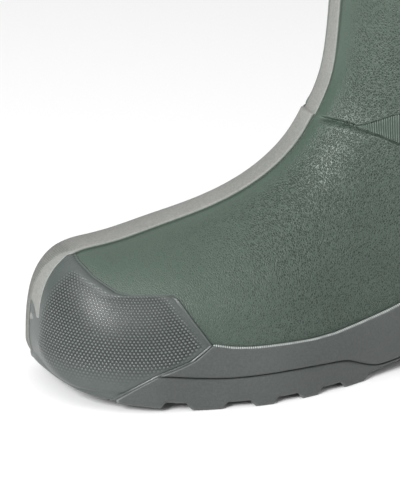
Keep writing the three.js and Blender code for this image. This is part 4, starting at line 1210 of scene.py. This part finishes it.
BEAD_PITCH = 1.15
BEAD_RADIUS = 0.85
BEAD_SWELL = 0.45
BEAD_POINTS = 1400
BEAD_SUNK = 0.75
bead_place = round_places(
    np.full(BEAD_POINTS, RAND_START[-1, 0]), np.linspace(0, 1, BEAD_POINTS))
bead_path, bead_out, _ = on_rand(bead_place, np.ones(BEAD_POINTS), np.full(BEAD_POINTS, BEAD_SUNK))
# Lighter tone and near white highlight tone: painted light on the bead and its knurls
piping_painted_light = rubber("piping_painted_light_rubber", (0.11, 0.12, 0.115), (0.15, 0.16, 0.155), (0.40, 0.42, 0.41),
                 grain, FIRM_GRAIN, depth=0.3, gloss=0.36, bump=0.0001)
knurls = bead(bead_path, bead_out, BEAD_PITCH, BEAD_RADIUS, BEAD_SWELL)
piping = stitch("rand_piping", [knurls], [piping_painted_light])
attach(piping, "root")


# Outsole: one moulding of hard-wearing rubber, with a ledge that carries the rand, edge lugs
# that show as blocks in its side, a bare lane, smaller lugs down its middle, and a raised waist.
LUG_DEPTH = 3.5
LUG_SLOPE = 3.5
LEDGE = 7.0
EDGE_LUG_WIDTH = 20.0
LUG_LANE = 5.0
LUG_FLANK = 1.2
EDGE_LUGS = np.array([
    [-0.050, 0.1615], [0.203, 0.262], [0.308, 0.3475], [0.392, 0.431], [0.476, 0.528],
    [0.698, 0.770], [0.808, 0.865], [0.905, 1.050]]) * FOOT_LENGTH
MIDDLE_LUGS = np.array([
    [0.105, 0.150], [0.185, 0.230], [0.275, 0.320], [0.365, 0.410], [0.455, 0.500],
    [0.765, 0.810], [0.860, 0.905]]) * FOOT_LENGTH
ARCH = drawn([
    [0.500, -0.30], [0.538, -0.10], [0.541, 0.165], [0.548, 0.195], [0.564, 0.225],
    [0.580, 0.265], [0.600, 0.315], [0.640, 0.440], [0.698, 0.500], [0.702, -0.10],
    [0.75, -0.30]], SOLE_HEIGHT, 1.5)


def lug_cover(x, lugs):
    """How much of the lugs' depth stands at x: 1 on a lug, leaning off to 0 over its slope."""
    inside = np.minimum(x[..., None] - lugs[:, 0], lugs[:, 1] - x[..., None])
    return ease(inside.max(-1), -LUG_SLOPE / 2, LUG_SLOPE / 2)


def tread_z(x, inward):
    """Height of the tread: the ground line under the lugs, deeper between them, and raised
    to the arch line at the waist."""
    lane_end = EDGE_LUG_WIDTH + LUG_LANE
    edge = lug_cover(x, EDGE_LUGS) * ease(inward, EDGE_LUG_WIDTH + LUG_FLANK, EDGE_LUG_WIDTH)
    middle = lug_cover(x, MIDDLE_LUGS) * ease(inward, lane_end - LUG_FLANK, lane_end)
    bare = height_on(GROUND, x) + LUG_DEPTH * (1 - np.maximum(edge, middle))
    return np.maximum(bare, np.interp(x, *ARCH, left=-9, right=-9))


SOLE_COLUMNS = 900
sole_along = np.linspace(0, 1, SOLE_COLUMNS + 1)
# Rows from the plate's middle over the ledge, down the side and in under the tread:
# distance in from the edge, share of the side's height, and what that height is measured to
SOLE_SIDE = [
    (1.5, 1.0), (0.8, 0.975), (0.35, 0.94), (0.08, 0.885), (0.0, 0.8), (0.0, 0.66), (0.0, 0.5),
    (0.0, 0.36), (0.0, 0.24), (0.06, 0.14), (0.28, 0.05), (0.8, 0.0)]


def sole_middle(at, first, last):
    """The sole's middle line beside each place, the same for a place and its opposite."""
    x = np.clip((at[:, 0] + at[::-1, 0]) / 2, first, last)
    outer, inner = outline_at(place_at(x, False))[0], outline_at(place_at(x, True))[0]
    return np.stack([x, (outer[:, 1] + inner[:, 1]) / 2], -1)


def side_start(share_high):
    """Where a row at a share of the side's height starts, behind the toe cap."""
    return start_x(GROUND, GROOVE, np.array([share_high]))


def sole_row(share_high, inward, to_middle, level):
    """One row of the outsole round the outline: on the way from a line that lies inward of the
    edge to the sole's middle line, to_middle in from the edge, at the height level gives."""
    start = side_start(share_high)
    place = round_places(start, sole_along)
    at, moved = outline_at(place)[0], inside_outline(place, inward)
    middle = sole_middle(at, start[0], FOOT_LENGTH - 45)
    width = np.linalg.norm(middle - at, axis=1)
    share = np.clip((to_middle - inward) / (width - inward), 0, 1)
    target = lerp(moved, middle, share[:, None])
    return np.concatenate([target, level(target[:, 0], np.minimum(to_middle, width))[:, None]], 1)


def flat_row(share_high, inward, level):
    """A row that keeps an even distance in from the outline."""
    at = inside_outline(round_places(side_start(share_high), sole_along), inward)
    return np.concatenate([at, level(at[:, 0], inward)[:, None]], 1)


def plate_z(x, depth):
    """The plate's top, on the feather line."""
    return height_on(FEATHER, x) - 0.05


def ledge_z(x, depth):
    """The ledge's top, in the groove."""
    return height_on(GROOVE, x) - 0.02


def side_level(share):
    """Heights at a share of the side, from the tread's edge to the groove."""
    return lambda x, depth: lerp(tread_z(x, 0 * x), ledge_z(x, depth), share)


TO_THE_MIDDLE = 999.0
sole_rows = [sole_row(1.0, 0.0, TO_THE_MIDDLE, plate_z), sole_row(1.0, 0.0, 25.0, plate_z),
             flat_row(1.0, LEDGE + 0.2, plate_z), flat_row(1.0, LEDGE, ledge_z),
             flat_row(1.0, 3.0, ledge_z)]
sole_rows += [flat_row(share, inward, side_level(share)) for inward, share in SOLE_SIDE]
UNDER = [1.6, 2.8, 4.8, 7.0, 9.5, 12.0, 14.5, 17.0, 19.2, 19.9, 20.6, 21.4, 22.5, 23.6, 24.4, 25.2,
         26.5, 28.5, 31.0, 33.5, 36.0, 38.5]
sole_rows += [sole_row(0.0, SOLE_SIDE[-1][0], depth, tread_z) for depth in [*UNDER, TO_THE_MIDDLE]]
SOLE_ROUND = 700
FRONT_STEPS = 8
sole_grid = np.array(sole_rows)
sole_pattern = measure(sole_along * SOLE_ROUND, sole_grid[..., 2], 0.25)
front = bridge(sole_grid[:, 0], sole_grid[:, -1], FRONT_STEPS)
outsole = stitch("sole_unit", [
    (sole_grid, sole_pattern, 0, False),
    (front, np.repeat(sole_pattern[:, :1], FRONT_STEPS + 1, 1), 0, True)], [sole_rubber])
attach(outsole, "root")
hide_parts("outsole")


# Insole: a loose footbed of felt over foam. It lies on the boot's floor, inside the lining and
# fastened to nothing.
INSOLE_THICKNESS = 4.5
INSOLE_CLEARANCE = 0.8
half_way = OUTLINE_STEPS // 2
TOE_PLACE = outline_places[half_way + outline_points[half_way:, 0].argmin()]
bed_along = np.linspace(0, 1, 361)
bed_place = lerp(TOE_PLACE - 1, HEEL_PLACE, np.minimum(bed_along * 2, 1))
bed_place = np.where(bed_along > 0.5, lerp(TOE_PLACE, HEEL_PLACE, 2 - bed_along * 2), bed_place)
bed_at, _ = outline_at(bed_place)
bed_middle = sole_middle(bed_at, 55.0, FOOT_LENGTH - 60)
bed_middle = np.concatenate([bed_middle, 0 * bed_middle[:, :1]], 1)
bed_way = unit(np.concatenate([bed_at, 0 * bed_at[:, :1]], 1) - bed_middle)
# Rows from the middle of the top over the edge to the middle of the underside
BED_TOP = [0.0, 0.2, 0.4, 0.6, 0.75, 0.87, 0.94]
BED_EDGE = [(1.4, 1.0), (0.6, 0.96), (0.15, 0.85), (0.0, 0.68), (0.0, 0.4), (0.0, 0.15), (0.25, 0.0)]


def bed_edge(height):
    """The insole's edge at a share of its thickness: the last drawn in, met level from inside."""
    x = bed_at[:, 0]
    for _ in range(3):
        z = height_on(FEATHER, x) + FEATHER_GAP + height * INSOLE_THICKNESS
        eye = bed_middle + [0, 0, 1] * z[:, None]
        reach = meet_last(eye, bed_way, -WALL - INSOLE_CLEARANCE)
        met = eye + bed_way * reach[:, None]
        x = met[:, 0]
    return met, eye


top_edge, top_middle = bed_edge(0.96)
bed_rows = [lerp(top_middle, top_edge, share) for share in BED_TOP]
for row in bed_rows:
    row[:, 2] = height_on(FEATHER, row[:, 0]) + FEATHER_GAP + INSOLE_THICKNESS
for inward, height in BED_EDGE:
    met, _ = bed_edge(height)
    met = met - bed_way * inward
    bed_rows.append(met)
under_edge = bed_rows[-1]
for share in (0.6, 0.0):
    row = lerp(bed_middle, under_edge, share)
    row[:, 2] = height_on(FEATHER, row[:, 0]) + FEATHER_GAP
    bed_rows.append(row)
bed_grid = np.array(bed_rows)
bed_grid[:, -1] = bed_grid[:, 0]
felt = rubber("insole_felt", (0.10, 0.105, 0.10), (0.15, 0.155, 0.148), (0.18, 0.185, 0.18),
              grain, {"Pits_per_metre": 1700.0, "Bend": 3.0}, depth=0.5, gloss=0.85, bump=0.0003,
              specular=0.1)
bed_pattern = measure(bed_grid[..., 0], bed_grid[..., 1], 1.0)
insole = stitch("footbed", [(bed_grid, bed_pattern, 0, False)], [felt])
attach(insole, "root")
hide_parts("insole")


# Camera: a long lens from the toe's outer side, a little above the boot, aimed past the ankle.
VIEW_TURN = math.radians(-20)
VIEW_RISE = math.radians(21)
VIEW_DISTANCE = 1.6
AIM_RIGHT = 0.06768
AIM_DOWN = 0.004545
FOCAL_LENGTH = 228.1
LOOK_AT = Vector((20 + frame_shift, 9, 74.7)) / 1000
back = Vector((math.sin(VIEW_TURN) * math.cos(VIEW_RISE),
               -math.cos(VIEW_TURN) * math.cos(VIEW_RISE), math.sin(VIEW_RISE)))
right = Vector((math.cos(VIEW_TURN), math.sin(VIEW_TURN), 0))
aim = LOOK_AT + right * AIM_RIGHT - back.cross(right) * AIM_DOWN
lens = bpy.data.cameras.new("camera")
lens.lens = FOCAL_LENGTH
lens.sensor_width = 36.0


def hang(name, data, place, aim_at):
    """A camera or lamp at a place, turned to a point."""
    made = bpy.data.objects.new(name, data)
    made.location = place
    made.rotation_mode = "QUATERNION"
    made.rotation_quaternion = (Vector(aim_at) - Vector(place)).to_track_quat("-Z", "Y")
    bpy.context.scene.collection.objects.link(made)
    return made


bpy.context.scene.camera = hang("camera", lens, LOOK_AT + back * VIEW_DISTANCE, aim)

# Studio: a pale sweep under a bright white room, one soft lamp over the toe and a fill.
pale = bpy.data.materials.new("studio_floor")
pale.use_nodes = True
paper = pale.node_tree.nodes["Principled BSDF"].inputs
paper["Base Color"].default_value = (0.9, 0.9, 0.9, 1)
paper["Roughness"].default_value = 0.9
floor_mesh = bpy.data.meshes.new("studio_floor")
corners = [(x, y, -2e-4) for x, y in ((-6, -6), (6, -6), (6, 6), (-6, 6))]
floor_mesh.from_pydata(corners, [], [(0, 1, 2, 3)])
floor_mesh.materials.append(pale)
floor = bpy.data.objects.new("studio_floor", floor_mesh)
bpy.context.scene.collection.objects.link(floor)


def lamp(name, place, aim_at, size, power):
    """A square soft lamp at a place, turned to a point."""
    light = bpy.data.lights.new(name, "AREA")
    light.size = size
    light.energy = power
    hang(name, light, place, aim_at)


lamp("key", (-1.2, -0.85, 0.95), (-0.04, 0, 0.1), size=0.6, power=34)
lamp("fill", (0.85, -1.13, 0.95), (0, 0, 0.1), size=1.2, power=5)

# The room is bright overhead and dim at eye level; seen straight on, it is plain white
ROOM_FADE = (0.35, 0.85)
ROOM_LIGHT = (0.29, 0.92)
world = bpy.data.worlds.new("studio")
bpy.context.scene.world = world
world.use_nodes = True
room = world.node_tree
high = put(room, "SeparateXYZ", i0=put(room, "TexCoord").outputs["Generated"]).outputs[2]
level = fade(room, high, *ROOM_FADE, *ROOM_LIGHT)
seen = put(room, "LightPath").outputs["Is Camera Ray"]
backdrop = room.nodes["Background"]
backdrop.inputs["Color"].default_value = (1, 1, 1, 1)
room.links.new(maths(room, "MAXIMUM", level, seen), backdrop.inputs["Strength"])
bpy.context.scene.view_settings.view_transform = "Standard"
